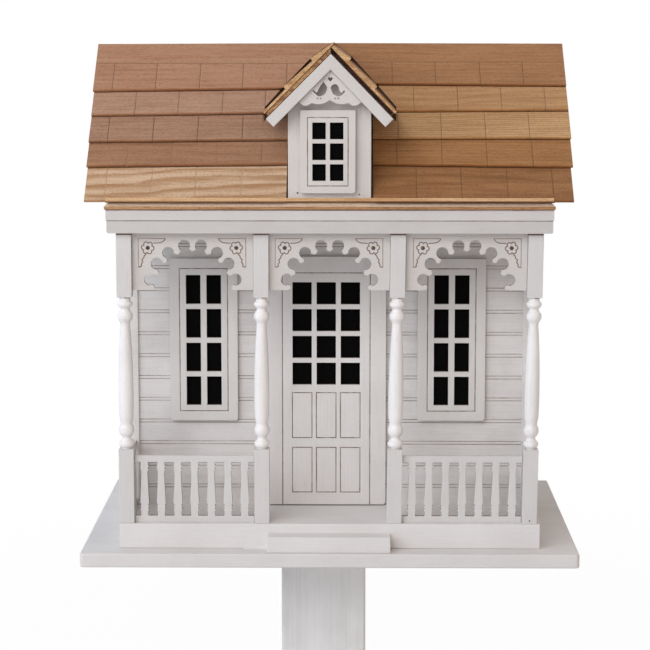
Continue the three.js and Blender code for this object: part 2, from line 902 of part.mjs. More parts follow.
function mainCourses(shares) {
  return courseLayout(shares, roofSlopeLength, eaveButtRise);
}

// Where a height h off the panel meets the plumb plane just beside the ridge
function ridgeStart(h) {
  return ridgeGap / Math.cos(roofAngle) - h * roofSlope;
}

function plankOutline(course) {
  const at = (s, h) => slopePoint(ridgeTop, roofAngle, -1, s, h);
  const low = seatGap;
  const high = seatGap + shingleThickness;
  const start = (h) => (course.upper > 0 ? course.upper : ridgeStart(h));
  return [
    at(start(low), low),
    at(start(high), high),
    at(course.butt, high + course.rise),
    at(course.butt, low + course.rise),
  ];
}

// The dormer's own space, kept free of planks. Below its eaves the planks run on to the cheeks.
function dormerSpace(reachesUnderEaves) {
  const steep = Math.cos(dormerPitch);
  const stack = dormerCourses()[0].rise + seatGap + shingleThickness + plankToShingleGap;
  const top = dormerPanelTop + stack / steep;
  const eave = (dormerShingleSlope + seatGap + shingleThickness + plankToShingleGap) * steep;
  const under = dormerUnderside - plankToShingleGap / steep;
  const wall = dormerWidth / 2 + plankToCheekGap;
  const pocket = [
    [wall, roofPlateTop],
    [wall, under - wall],
    [eave, under - eave],
    [eave, top - eave],
  ];
  const plain = [
    [eave, roofPlateTop],
    [eave, top - eave],
  ];
  const right = reachesUnderEaves ? pocket : plain;
  const left = right.map(([x, z]) => [-x, z]);
  return prism([...right, [0, top], ...left.reverse()], 'y', dormerRoofFront - overrun, overrun);
}

function frontPlank(course, side, halfLength, reachesUnderEaves) {
  const [from, to] = span(side * ridgeGap, side * halfLength);
  return cut(prism(plankOutline(course), 'x', from, to), [dormerSpace(reachesUnderEaves)]);
}

// Several courses as one stepped body
function steppedOutline(courses, at, startLow, startHigh) {
  const low = seatGap;
  const high = seatGap + shingleThickness;
  const points = [at(startLow, low), at(startHigh, high)];
  courses.forEach((course, i) => {
    points.push(at(course.butt, high + course.rise));
    const next = courses[i + 1];
    points.push(at(course.butt, next ? high + riseAt(next, course.butt) : low));
  });
  return points;
}

function rearShingles() {
  const at = (s, h) => slopePoint(ridgeTop, roofAngle, 1, s, h);
  const high = seatGap + shingleThickness;
  const courses = mainCourses(rearCourseShares);
  const outline = steppedOutline(courses, at, ridgeStart(seatGap), ridgeStart(high));
  return prism(outline, 'x', -shingleLength / 2, shingleLength / 2);
}

// A thin strip glued along the lowest front butts
function eaveStrip() {
  const stack = seatGap + eaveButtRise + shingleThickness;
  const reach = roofRun * Math.max(leftCourseShares[leftCourseShares.length - 1], 1);
  const back = -(reach + stack * Math.sin(roofAngle)) - seatGap;
  const low = roofPlateTop + eaveStripRise;
  const outline = rectangle(back - eaveStripThickness, low, back, low + eaveStripHeight);
  return prism(outline, 'x', -eaveStripLength / 2, eaveStripLength / 2);
}

function buildRoof(house) {
  add(house, 'cornice', cornice(), whitePaint, 0, 0, wallTop);
  add(house, 'roof_plate', roofPlate(), plywood, 0, 0, corniceTop);
  add(house, 'gable_left', gable(-1), whitePaint);
  add(house, 'gable_right', gable(1), whitePaint);
  add(house, 'roof_panel_front', roofPanel(-1), plywood);
  add(house, 'roof_panel_rear', roofPanel(1), plywood);
  add(house, 'eave_strip', eaveStrip(), plywood);
  const sides = [
    ['shingle_left', -1, leftCourseShares, leftShingleWood],
    ['shingle_right', 1, rightCourseShares, rightShingleWood],
  ];
  for (const [prefix, side, shares, material] of sides) {
    mainCourses(shares).forEach((course, i) => {
      const halfLength = (shingleLength / 2) * courseLengthShares[i];
      const plank = frontPlank(course, side, halfLength, i >= coursesAboveDormerEave);
      add(house, `${prefix}_${i + 1}`, plank, material);
    });
  }
  add(house, 'rear_shingles', rearShingles(), paleShingleWood);
}

// Everything below the front roof panel's top, as a cutter for what stands on it
function roofBody() {
  const lift = seatGap / Math.cos(roofAngle);
  const reach = baseDepth / 2;
  const outline = [
    [overrun, ridgeTop + lift],
    [0, ridgeTop + lift],
    [-reach, ridgeTop + lift - reach * roofSlope],
    [-reach, 0],
    [overrun, 0],
  ];
  return prism(outline, 'x', -baseLength / 2, baseLength / 2);
}

function dormerFrontWall() {
  const half = dormerWidth / 2;
  const low = roofPlateTop + eaveStripRise + seatGap;
  const shoulder = bargeboardTop - half * Math.tan(dormerPitch);
  const outline = [
    [-half, low],
    [half, low],
    [half, shoulder],
    [0, bargeboardTop],
    [-half, shoulder],
  ];
  return cut(prism(outline, 'y', dormerFront, dormerFront + dormerFrontThickness), [roofBody()]);
}

function dormerCheek(side) {
  const outer = (side * dormerWidth) / 2;
  const [left, right] = span(outer, outer - side * dormerCheekThickness);
  const shoulder = bargeboardTop - (dormerWidth / 2) * Math.tan(dormerPitch);
  const front = dormerFront + dormerFrontThickness;
  return cut(block([left, front, roofPlateTop], [right, 0, shoulder]), [roofBody()]);
}

function dormerCourses() {
  return courseLayout(dormerCourseShares, dormerShingleSlope, 0);
}

function dormerPanel(side, front) {
  const at = (s, h) => slopePoint(dormerPanelTop, dormerPitch, side, s, h);
  const start = ridgeGap / Math.cos(dormerPitch);
  const outline = [
    at(start, 0),
    at(dormerPanelSlope, 0),
    at(dormerPanelSlope, -dormerPanelThickness),
    at(start + dormerPanelThickness * Math.tan(dormerPitch), -dormerPanelThickness),
  ];
  return cut(prism(outline, 'y', front, -dormerRidgeSetback), [roofBody()]);
}

// The left shingles run past the ridge, over the upper end of the right ones
function dormerShingles(side) {
  const at = (s, h) => slopePoint(dormerPanelTop, dormerPitch, side, s, h);
  const start = side < 0 ? -dormerRidgeLap : 0;
  const outline = steppedOutline(dormerCourses(), at, start, start);
  const front = dormerRoofFront - dormerShingleOverhang;
  return cut(prism(outline, 'y', front, -dormerRidgeSetback), [roofBody()]);
}

function bargeboard(side) {
  const steep = Math.tan(dormerPitch);
  const top = (x) => bargeboardTop - x * steep;
  const across = bargeboardWidth * Math.sin(dormerPitch);
  const down = bargeboardWidth * Math.cos(dormerPitch);
  const plumb = bargeboardWidth / Math.cos(dormerPitch);
  const outline = [
    [side * ridgeGap, top(ridgeGap)],
    [side * bargeboardSpan, top(bargeboardSpan)],
    [side * (bargeboardSpan - across), top(bargeboardSpan) - down],
    [side * ridgeGap, top(ridgeGap) - plumb],
  ];
  return prism(outline, 'y', dormerRoofFront, dormerRoofFront + bargeboardThickness);
}

function heart(x, z, width) {
  const lobe = width / 4;
  const shoulder = z + lobe / 2;
  const tip = [x, z - 2 * lobe];
  return [
    ...arc(x + lobe, shoulder, lobe, 0, Math.PI, arcSteps),
    ...arc(x - lobe, shoulder, lobe, 0, Math.PI, arcSteps).slice(1),
    ...curve([x - 2 * lobe, shoulder], [x - 2 * lobe, z - lobe / 2], tip, arcSteps),
    ...curve(tip, [x + 2 * lobe, z - lobe / 2], [x + 2 * lobe, shoulder], arcSteps).slice(0, -1),
  ];
}

function bird(side, beakOffset, shares) {
  const beak = dormerUnderside - birdBeakDrop;
  return shares.map(([along, up]) => [side * (beakOffset + along * birdLength), beak + up * birdLength]);
}

function fretwork() {
  const low = dormerUnderside - fretworkDrop;
  const reach = (bargeboardTop - low) / Math.tan(dormerPitch);
  const right = [[0, low]];
  for (const [pullOut, pullUp, endOut, endUp] of scallopShares) {
    const pull = [pullOut * fretworkHalfWidth, low + pullUp * fretworkHalfWidth];
    const end = [endOut * fretworkHalfWidth, low + endUp * fretworkHalfWidth];
    right.push(...curve(right[right.length - 1], pull, end, 2 * arcSteps));
  }
  right.push([reach, low]);
  const left = right.slice(1).map(([x, z]) => [-x, z]);
  const holes = [
    heart(0, dormerUnderside - heartDrop, heartWidth),
    bird(-1, leftBeakOffset, leftBirdShares),
    bird(1, rightBeakOffset, rightBirdShares),
  ];
  const front = dormerRoofFront + bargeboardThickness;
  const back = front + fretworkThickness;
  const outline = [...right, [0, bargeboardTop], ...left.reverse()];
  const ways = holes.map((hole) => prism(hole, 'y', front - overrun, back + overrun));
  return cut(prism(outline, 'y', front, back), ways);
}

function dormerWindowPlate() {
  const holes = panes(
    dormerColumns,
    dormerRows,
    dormerPaneWidth,
    dormerPaneHeight,
    dormerMullion,
    dormerRail,
    dormerWindowHeight - dormerTopRail,
  );
  const half = dormerWindowWidth / 2 - dormerLineMargin;
  const ring = engravedRing(-half, dormerLineMargin, half, dormerWindowHeight - dormerLineMargin);
  return plate(dormerWindowWidth, dormerWindowHeight, holes, [ring]);
}

function buildDormer(house) {
  const sill = roofPlateTop + dormerSillRise;
  const rightPanelFront = dormerRoofFront + dormerRightPanelSetback;
  const glass = card(dormerWindowWidth, dormerWindowHeight);
  add(house, 'dormer_front', dormerFrontWall(), whitePaint);
  add(house, 'dormer_cheek_left', dormerCheek(-1), whitePaint);
  add(house, 'dormer_cheek_right', dormerCheek(1), whitePaint);
  const plateBack = dormerFront - cardThickness;
  add(house, 'dormer_window_card', glass, blackCard, dormerWindowShift, dormerFront, sill);
  add(house, 'dormer_window_plate', dormerWindowPlate(), whitePaint, dormerWindowShift, plateBack, sill);
  add(house, 'dormer_fretwork', fretwork(), whitePaint);
  add(house, 'bargeboard_left', bargeboard(-1), whitePaint);
  add(house, 'bargeboard_right', bargeboard(1), whitePaint);
  add(house, 'dormer_roof_left', dormerPanel(-1, dormerRoofFront), plywood);
  add(house, 'dormer_roof_right', dormerPanel(1, rightPanelFront), plywood);
  add(house, 'dormer_shingles_left', dormerShingles(-1), paleShingleWood);
  add(house, 'dormer_shingles_right', dormerShingles(1), paleShingleWood);
}

// Clean-out hatch and its pins, placed from the pivot axis
function hatchPanel() {
  const half = hatchOpeningWidth / 2 - hatchSideGap;
  const board = block(
    [-half, slabBack - hatchThickness, hatchBottom],
    [half, slabBack, hatchTop],
  );
  const grooves = sidingGrooves('x', slabBack, -1, -half, half, hatchBottom, hatchTop);
  const boreEnd = hatchOpeningWidth / 2 - pinLength / 2 - endGap;
  const boreOutline = circle(hatchPivotY, hatchPivotZ, pinRadius + pinClearance, smallRoundSteps);
  const bores = [-1, 1].map((side) => {
    const [from, to] = span(side * boreEnd, side * (half + overrun));
    return prism(boreOutline, 'x', from, to);
  });
  return cut(board, [...grooves, ...bores]).translate(0, -hatchPivotY, -hatchPivotZ);
}

function buildHatch(house) {
  const hatch = new THREE.Group();
  hatch.position.set(0, hatchPivotY, hatchPivotZ);
  house.add(hatch);
  add(hatch, 'cleanout_hatch', hatchPanel(), whitePaint);
  const pin = prism(circle(0, 0, pinRadius, smallRoundSteps), 'x', -pinLength / 2, pinLength / 2);
  add(hatch, 'hatch_pin_left', pin, steel, -hatchOpeningWidth / 2);
  add(hatch, 'hatch_pin_right', pin.clone(), steel, hatchOpeningWidth / 2);
}

// Turn button and its screw, placed from the screw's axis
function buildButton(house) {
  const button = new THREE.Group();
  button.position.set(0, slabBack, buttonZ);
  house.add(button);
  const round = buttonWidth / 2;
  const reach = buttonLength / 2 - round;
  const outline = [
    ...arc(reach, 0, round, -Math.PI / 2, Math.PI / 2, 2 * arcSteps),
    ...arc(-reach, 0, round, Math.PI / 2, 1.5 * Math.PI, 2 * arcSteps),
  ];
  const hole = circle(0, 0, screwRadius + seatGap, smallRoundSteps);
  const front = seatGap + buttonThickness;
  add(button, 'turn_button', prism(outline, 'y', seatGap, front, [hole]), whitePaint);
  const headBack = front + seatGap;
  const shank = prism(circle(0, 0, screwRadius, smallRoundSteps), 'y', -screwDepth, headBack + seatGap);
  const head = circle(0, 0, screwHeadRadius, turningSteps);
  const screw = join([shank, prism(head, 'y', headBack, headBack + screwHeadHeight)]);
  add(button, 'turn_button_screw', screw, brass);
}

const birdhouse = new THREE.Group();
const house = new THREE.Group();
house.position.z = mountingPostLength;
birdhouse.add(house);
buildBase(house);
buildWalls(house);
buildFacade(house);
buildPorch(house);
buildRoof(house);
buildDormer(house);
buildHatch(house);
buildButton(house);

export default birdhouse;
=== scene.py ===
"""Cottage birdhouse with a front porch, a shingled gable roof and a dormer.

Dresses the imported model: eased painted boards, engraved lines, turned porch posts, scored
shingle planks and their timber, paint and metal finishes, then the floor, lamps and camera.
"""

import json
import math
import random

import bmesh
import bpy
from bpy.props import FloatProperty, FloatVectorProperty, PointerProperty
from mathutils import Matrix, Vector, noise

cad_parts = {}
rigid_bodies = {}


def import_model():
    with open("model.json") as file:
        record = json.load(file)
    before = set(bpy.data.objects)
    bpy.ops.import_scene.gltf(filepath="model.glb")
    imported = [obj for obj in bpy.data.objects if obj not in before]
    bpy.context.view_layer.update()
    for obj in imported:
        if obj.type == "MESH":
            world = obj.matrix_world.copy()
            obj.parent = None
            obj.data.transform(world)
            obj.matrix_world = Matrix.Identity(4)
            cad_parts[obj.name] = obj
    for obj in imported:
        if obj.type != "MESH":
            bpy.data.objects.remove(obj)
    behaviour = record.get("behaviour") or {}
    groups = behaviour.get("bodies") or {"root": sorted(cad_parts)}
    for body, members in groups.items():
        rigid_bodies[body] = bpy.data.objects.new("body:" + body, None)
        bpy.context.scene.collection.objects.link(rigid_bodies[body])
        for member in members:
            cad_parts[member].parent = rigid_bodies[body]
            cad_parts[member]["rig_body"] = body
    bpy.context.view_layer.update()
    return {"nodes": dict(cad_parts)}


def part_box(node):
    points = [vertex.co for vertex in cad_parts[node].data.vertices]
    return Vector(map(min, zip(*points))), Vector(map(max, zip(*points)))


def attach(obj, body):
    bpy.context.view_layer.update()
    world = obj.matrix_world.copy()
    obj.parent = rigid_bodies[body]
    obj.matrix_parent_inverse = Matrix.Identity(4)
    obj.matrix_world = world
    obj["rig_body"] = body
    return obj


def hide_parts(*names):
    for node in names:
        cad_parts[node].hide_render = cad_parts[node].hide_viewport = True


bl_info = {
    "name": "Cottage Birdhouse",
    "version": (1, 0, 0),
    "blender": (4, 5, 0),
    "location": "3D View > Sidebar > Birdhouse",
    "description": "Builds the finished pieces of a cottage birdhouse over its packed frame",
    "category": "Object",
}

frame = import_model()

MM = 0.001

# Levels and distances of the frame, in millimetres
POST_LENGTH = 100
WALL_TOP = POST_LENGTH + 257.9
ROOF_RISE = 107
ROOF_RUN = 112.75
RIDGE_TOP = WALL_TOP + ROOF_RISE
ROOF_ANGLE = math.atan2(ROOF_RISE, ROOF_RUN)
SEAT = 0.3
SHINGLE = 1.9
LAP = 8
HALF_PLANK = 171.5
PLANK_SHARES = (1.012, 1.009, 1.003, 1, 0.999)
EAVE_RISE = 2.6
DORMER_PITCH = math.radians(45)
DORMER_PEAK = POST_LENGTH + 361.7
DORMER_TOP = DORMER_PEAK + 2.5 / math.cos(DORMER_PITCH)
DORMER_SLOPE = 63.5
DORMER_FOOT = POST_LENGTH + 240
DORMER_HALF = 29.1
DORMER_CLEARANCE = SEAT + SHINGLE + 0.25
LOWER_BLOCK = 54
UPPER_BLOCK = 45.7

# The dormer's roof leans above a level: over a height, by a distance, up to a limit; and the width
# of its bargeboards
LEAN_START = POST_LENGTH + 312
LEAN_HEIGHT = 50
LEAN = 0.9
LEAN_LIMIT = POST_LENGTH + 369.05
BARGEBOARD = 7.6

# Planks: gap between two planks or slopes, step between the rings, room beside a scored line, and
# the swell along the ridge with its reach down the slope and along it
GAP = 0.15
RING_STEP = 5
SCORE_ROOM = 1.2
RIDGE_SWELL = 0.55
SWELL_LENGTH = 20
SWELL_REACH = 171

# Porch posts: sides of the turning, its length inside the blocks, how much brighter its paint is as a
# painted highlight, and the painted shade at the post's head and under its upper block
POST_SIDES = 40
TENON = 1.5
POST_PAINTED_SHEEN = 1.36
HEAD_SHADE = 1.1
BLOCK_SHADE = 0.8

# The painted shadow lines under the cornice's step and at the cornice's top under the roof plate, in
# metres
CORNICE_STEP_SHADE = 0.0006
CORNICE_TOP_SHADE = 0.0008

# The chamfer along the lower edges of the roof plate, which carries a painted shadow, in metres
ROOF_PLATE_CHAMFER = 0.00045

# Rounding of the mounting post's corners, in metres
POST_CORNER = 0.0022

# Depth of the engraved lines and rounding of the plywood's edges, in metres
ENGRAVING = 0.0004
PLY_ROUNDING = 0.0002

# Shares of the white paint for the dormer's upright boards: darker paint, as painted shade
DORMER_UPRIGHT_SHADE = (0.98, 0.95, 0.92)

# Butts of the front courses down the slope, at the gable end and beside the dormer
LEFT_BUTTS = ((49.5, 46.0), (74.3, 70.6), (100.5, 97.7), (124.5, 121.6), (157.4, 157.4))
RIGHT_BUTTS = ((43.6, 41.6), (68.5, 70.2), (96.8, 97.0), (124.6, 121.7), (157.4, 157.4))
REAR_BUTTS = ((42.0, 42.4), (69.8, 70.1), (98.2, 97.6), (125.7, 126.1), (155.4, 155.4))

# The line scored along the first course of the two front sides and of the rear, down the slope
LEVEL_SCORES = {-1: 19.7, 1: 18.4}
REAR_LEVEL_SCORE = 20.0

# Lines scored across the courses: distances along the roof
LEFT_SCORES = (
    (-159.8, -128.2, -96.1, -64.4, -32.3),
    (-141.8, -110.5, -78.4, -47.3),
    (-159.6, -127.4, -95.3, -63.1),
    (-144.5, -112.8, -80.8, -48.7),
    (-157.8, -125.8, -94.4, -62.0),
)
RIGHT_SCORES = (
    (45.4, 77, 109.8, 141.4),
    (60.8, 92.6, 124.4, 156.1),
    (48.8, 79.9, 111.5, 143.3),
    (47.6, 79.7, 111.7, 144.2),
    (61.1, 92.8, 125.1, 157.0),
)
REAR_SCORES = [range(first, 170, 32) for first in (-160, -144, -158, -142, -156)]

# For each course: how much longer its plank is than its share, and the tone of its scored lines
LEFT_TRIMS = ((0.3, 0.78), (0.1, 0.78), (1.1, 0.70), (1.3, 0.93), (0.7, 0.93))
RIGHT_TRIMS = ((-1.1, 0.78), (-0.6, 0.80), (0.7, 0.74), (0.7, 0.78), (-0.5, 0.78))

# Tone of each course: pale wood, deep wood, ring count per metre, ring strength, waver, pores
LEFT_TONES = (
    ((0.715, 0.55, 0.435), (0.625, 0.445, 0.33), 180, 0.16, 0.10, 0.8),
    ((0.725, 0.575, 0.475), (0.62, 0.47, 0.38), 260, 0.18, 0.08, 0.85),
    ((0.70, 0.55, 0.445), (0.585, 0.435, 0.34), 240, 0.22, 0.07, 0.9),
    ((0.675, 0.51, 0.39), (0.56, 0.395, 0.285), 120, 0.20, 0.16, 0.8),
    ((0.84, 0.72, 0.60), (0.67, 0.51, 0.36), 105, 0.68, 0.30, 0.3),
)
RIGHT_TONES = (
    ((0.68, 0.50, 0.35), (0.57, 0.395, 0.255), 200, 0.20, 0.14, 0.70),
    ((0.77, 0.605, 0.43), (0.65, 0.475, 0.315), 110, 0.32, 0.30, 0.55),
    ((0.83, 0.67, 0.49), (0.66, 0.50, 0.33), 460, 0.55, 0.03, 0.40),
    ((0.69, 0.50, 0.32), (0.56, 0.385, 0.225), 330, 0.28, 0.06, 0.65),
    ((0.64, 0.46, 0.305), (0.505, 0.34, 0.20), 90, 0.35, 0.34, 0.60),
)
REAR_TONES = (
    ((0.70, 0.53, 0.41), (0.58, 0.41, 0.30), 200, 0.35, 0.14, 0.45),
    ((0.67, 0.50, 0.38), (0.54, 0.38, 0.27), 300, 0.40, 0.08, 0.45),
    ((0.76, 0.61, 0.46), (0.60, 0.43, 0.29), 130, 0.60, 0.34, 0.25),
    ((0.65, 0.48, 0.36), (0.52, 0.35, 0.25), 240, 0.35, 0.12, 0.45),
    ((0.72, 0.56, 0.41), (0.57, 0.40, 0.27), 110, 0.55, 0.30, 0.30),
)

# Turning of a porch post: height as a share of the turned length, radius as a share of half the post
TURNING = (
    (0, 0.66), (0.006, 0.72), (0.014, 0.88), (0.024, 1.0), (0.034, 1.04), (0.045, 0.97), (0.055, 0.78),
    (0.063, 0.64), (0.071, 0.60), (0.080, 0.66), (0.092, 0.84), (0.105, 0.97), (0.121, 1.02),
    (0.137, 0.98), (0.152, 0.86), (0.163, 0.79), (0.179, 0.83), (0.199, 0.91), (0.226, 0.96),
    (0.329, 1), (0.439, 0.985), (0.548, 0.94), (0.658, 0.85), (0.75, 0.74), (0.800, 0.66),
    (0.820, 0.64), (0.834, 0.70), (0.848, 0.86), (0.862, 1.0), (0.876, 1.04), (0.890, 0.98),
    (0.902, 0.82), (0.912, 0.68), (0.921, 0.64), (0.930, 0.72), (0.940, 0.92), (0.952, 1.04),
    (0.964, 0.98), (0.972, 0.82), (0.979, 0.74), (1, 0.76),
)


def size_field(name, description, default, least=0.0001):
    """A small size, kept in metres"""
    return FloatProperty(
        name=name, description=description, default=default, min=least, unit="LENGTH", precision=5
    )


def colour_field(name, description, default):
    """A colour, kept as light values"""
    return FloatVectorProperty(
        name=name, description=description, default=default, min=0.0, max=1.0, subtype="COLOR"
    )


def angle_field(name, description, degrees):
    """An angle, given in degrees and kept in radians"""
    return FloatProperty(
        name=name, description=description, default=math.radians(degrees), subtype="ANGLE"
    )


def power_field(name, description, default):
    """The power of a lamp"""
    return FloatProperty(name=name, description=description, default=default, min=0.0, unit="POWER")


class BirdhouseSizes(bpy.types.PropertyGroup):
    """Sizes of the fine detail"""

    board_edge: size_field("Board edge", "Rounding along the edges of the thick painted boards", 0.0006)
    sheet_edge: size_field("Sheet edge", "Rounding along the sawn edges of the thin sheets", 0.0003)
    post_edge: size_field("Porch post edge", "Rounding along the blocks of the porch posts", 0.0005)
    score_width: size_field("Score width", "Width of the lines scored across the shingle planks", 0.0006)
    score_depth: size_field(
        "Score depth", "Depth of the lines scored across the shingle planks", 0.0004, least=0.0
    )
    engraving_width: size_field(
        "Engraving width", "Width of the engraved flowers and tendrils on the brackets", 0.0013
    )
    plank_waver: size_field(
        "Plank waver", "How far the butts of the shingle planks wander from straight", 0.00022, least=0.0
    )


class BirdhouseFinishes(bpy.types.PropertyGroup):
    """Colours of the paint, stains and metals"""

    paint: colour_field("White paint", "Colour of the white paint", (0.675, 0.652, 0.633))
    paint_shade: colour_field(
        "Paint shade", "Colour that the white paint drifts towards", (0.60, 0.57, 0.55)
    )
    burn: colour_field("Engraved line", "Brown of the engraved lines", (0.20, 0.115, 0.08))
    # Lighter than the white paint: the thin paint's own colour together with painted light against the
    # shade under the base
    post_paint: colour_field(
        "Mounting post paint", "Colour of the thin paint on the mounting post", (0.94, 0.925, 0.91)
    )
    card: colour_field("Black card", "Colour of the card behind the panes", (0.003, 0.0028, 0.0028))
    ply_pale: colour_field("Pale ply", "Pale layers of the plywood", (0.60, 0.40, 0.235))
    ply_deep: colour_field("Deep ply", "Deep layers of the plywood", (0.40, 0.235, 0.125))
    steel: colour_field("Steel", "Colour of the hatch pins", (0.56, 0.56, 0.55))
    brass: colour_field("Brass", "Colour of the turn button's screw", (0.63, 0.45, 0.19))


class BirdhouseStudio(bpy.types.PropertyGroup):
    """Camera and lamps"""

    camera_place: FloatVectorProperty(
        name="Camera place",
        description="Where the camera stands",
        default=(0.0128, -1.60923, 0.47918),
        subtype="TRANSLATION",
        unit="LENGTH",
    )
    camera_tilt: angle_field("Camera tilt", "How far the camera looks down", 7.897)
    camera_turn: angle_field("Camera turn", "How far the camera looks to the left", 0.614)
    lens: FloatProperty(
        name="Focal length",
        description="Focal length of the camera in millimetres",
        default=118.34,
        min=1.0,
    )
    window_power: power_field("Window light", "Power of the wide lamp on the left", 10.0)
    front_power: power_field("Front light", "Power of the large soft lamp in front", 33.0)
    room_light: FloatProperty(
        name="Room light", description="Strength of the even light from all round", default=0.66, min=0.0
    )


def detail():
    """The sizes of the fine detail"""
    return bpy.context.scene.birdhouse_sizes


def looks():
    """The colours of the finishes"""
    return bpy.context.scene.birdhouse_finishes


# ---------------------------------------------------------------- shader tools


def plug(tree, value, place):
    """Feeds a socket from another socket, or sets it to a plain value"""
    if isinstance(value, bpy.types.NodeSocket):
        tree.links.new(value, place)
    elif place.type == "RGBA" and len(value) == 3:
        place.default_value = (*value, 1.0)
    else:
        place.default_value = value


def add_node(tree, kind, inputs=None, **settings):
    made = tree.nodes.new("ShaderNode" + kind)
    for name, value in settings.items():
        setattr(made, name, value)
    for name, value in (inputs or {}).items():
        plug(tree, value, made.inputs[name])
    return made


def calc(tree, operation, *values, clamp=False):
    settings = {"operation": operation, "use_clamp": clamp}
    return add_node(tree, "Math", dict(enumerate(values)), **settings).outputs[0]


def blend(tree, factor, first, second):
    return add_node(tree, "Mix", {0: factor, 6: first, 7: second}, data_type="RGBA").outputs[2]


def ramp(tree, value, low, high):
    """Runs from nought to one as the value goes from low to high"""
    inputs = {0: value, 1: low, 2: high}
    return add_node(tree, "MapRange", inputs, interpolation_type="SMOOTHSTEP").outputs[0]


def stretched(tree, place, factors):
    return add_node(tree, "VectorMath", {0: place, 1: factors}, operation="MULTIPLY").outputs[0]


def cloud(tree, place, scale, detail=3.0, rough=0.55):
    settings = {"Vector": place, "Scale": scale, "Detail": detail, "Roughness": rough}
    return add_node(tree, "TexNoise", settings).outputs[0]


def streaks(tree, place, factors, low, high, detail=3.0, rough=0.55):
    """Noise drawn out along the grain, from nought to one"""
    return ramp(tree, cloud(tree, stretched(tree, place, factors), 1.0, detail, rough), low, high)


def seen_place(tree):
    """Where a point lies on its own piece"""
    return add_node(tree, "TexCoord").outputs["Object"]


def turned_place(tree, given):
    """The same, turned about the length of the roof so that its slope lies level"""
    inputs = {"Vector": seen_place(tree), "Angle": given["Turn"]}
    return add_node(tree, "VectorRotate", inputs, rotation_type="X_AXIS").outputs[0]


def shared_group(name, fill, inputs):
    """The node group of this name, which its fill function makes when it is first asked for"""
    if name in bpy.data.node_groups:
        return bpy.data.node_groups[name]
    tree = bpy.data.node_groups.new(name, "ShaderNodeTree")
    add_socket = tree.interface.new_socket
    for label, kind, default in inputs:
        made = add_socket(name=label, in_out="INPUT", socket_type="NodeSocket" + kind)
        made.default_value = default
    for label, kind in (("Colour", "Color"), ("Roughness", "Float"), ("Height", "Float")):
        add_socket(name=label, in_out="OUTPUT", socket_type="NodeSocket" + kind)
    values = fill(tree, tree.nodes.new("NodeGroupInput").outputs)
    for place, value in zip(tree.nodes.new("NodeGroupOutput").inputs, values):
        plug(tree, value, place)
    return tree


def paint_film(tree, given):
    """Paint brushed over wood: drifting shade, fine lines along the grain, specks"""
    place = seen_place(tree)
    wide = ramp(tree, cloud(tree, place, 26.0), 0.34, 0.72)
    lines = streaks(tree, place, given["Grain"], 0.38, 0.74, 4.0, 0.6)
    fine = ramp(tree, cloud(tree, place, 1100.0, 2.0), 0.52, 0.78)
    drift = calc(tree, "MULTIPLY", wide, given["Drift"])
    grain = calc(tree, "MULTIPLY", lines, given["Lines"])
    specks = calc(tree, "MULTIPLY", fine, given["Specks"])
    amount = calc(tree, "ADD", calc(tree, "ADD", drift, grain), specks, clamp=True)
    colour = blend(tree, amount, given["Colour"], given["Shade"])
    rough = calc(tree, "MULTIPLY_ADD", calc(tree, "SUBTRACT", lines, 0.5), 0.12, given["Roughness"])
    rough = calc(tree, "MULTIPLY_ADD", wide, 0.06, rough)
    level = calc(tree, "MULTIPLY_ADD", lines, -0.6, calc(tree, "MULTIPLY", fine, 0.35))
    return colour, rough, calc(tree, "MULTIPLY_ADD", wide, 0.5, level)


def burnt_line(tree, given):
    """The brown of an engraved line, broken where the paint has filled it"""
    place = seen_place(tree)
    long = cloud(tree, stretched(tree, place, given["Length"]), 1.0, 4.0, 0.65)
    short = cloud(tree, place, 420.0, 2.0)
    shown = ramp(tree, calc(tree, "MULTIPLY_ADD", short, 0.35, long), 0.48, 0.84)
    burnt = calc(tree, "MULTIPLY_ADD", shown, 0.75, 0.25)
    mask = calc(tree, "MULTIPLY", burnt, given["Strength"], clamp=True)
    colour = blend(tree, mask, given["Paint"], given["Burn"])
    return colour, calc(tree, "MULTIPLY_ADD", mask, 0.25, 0.6), mask


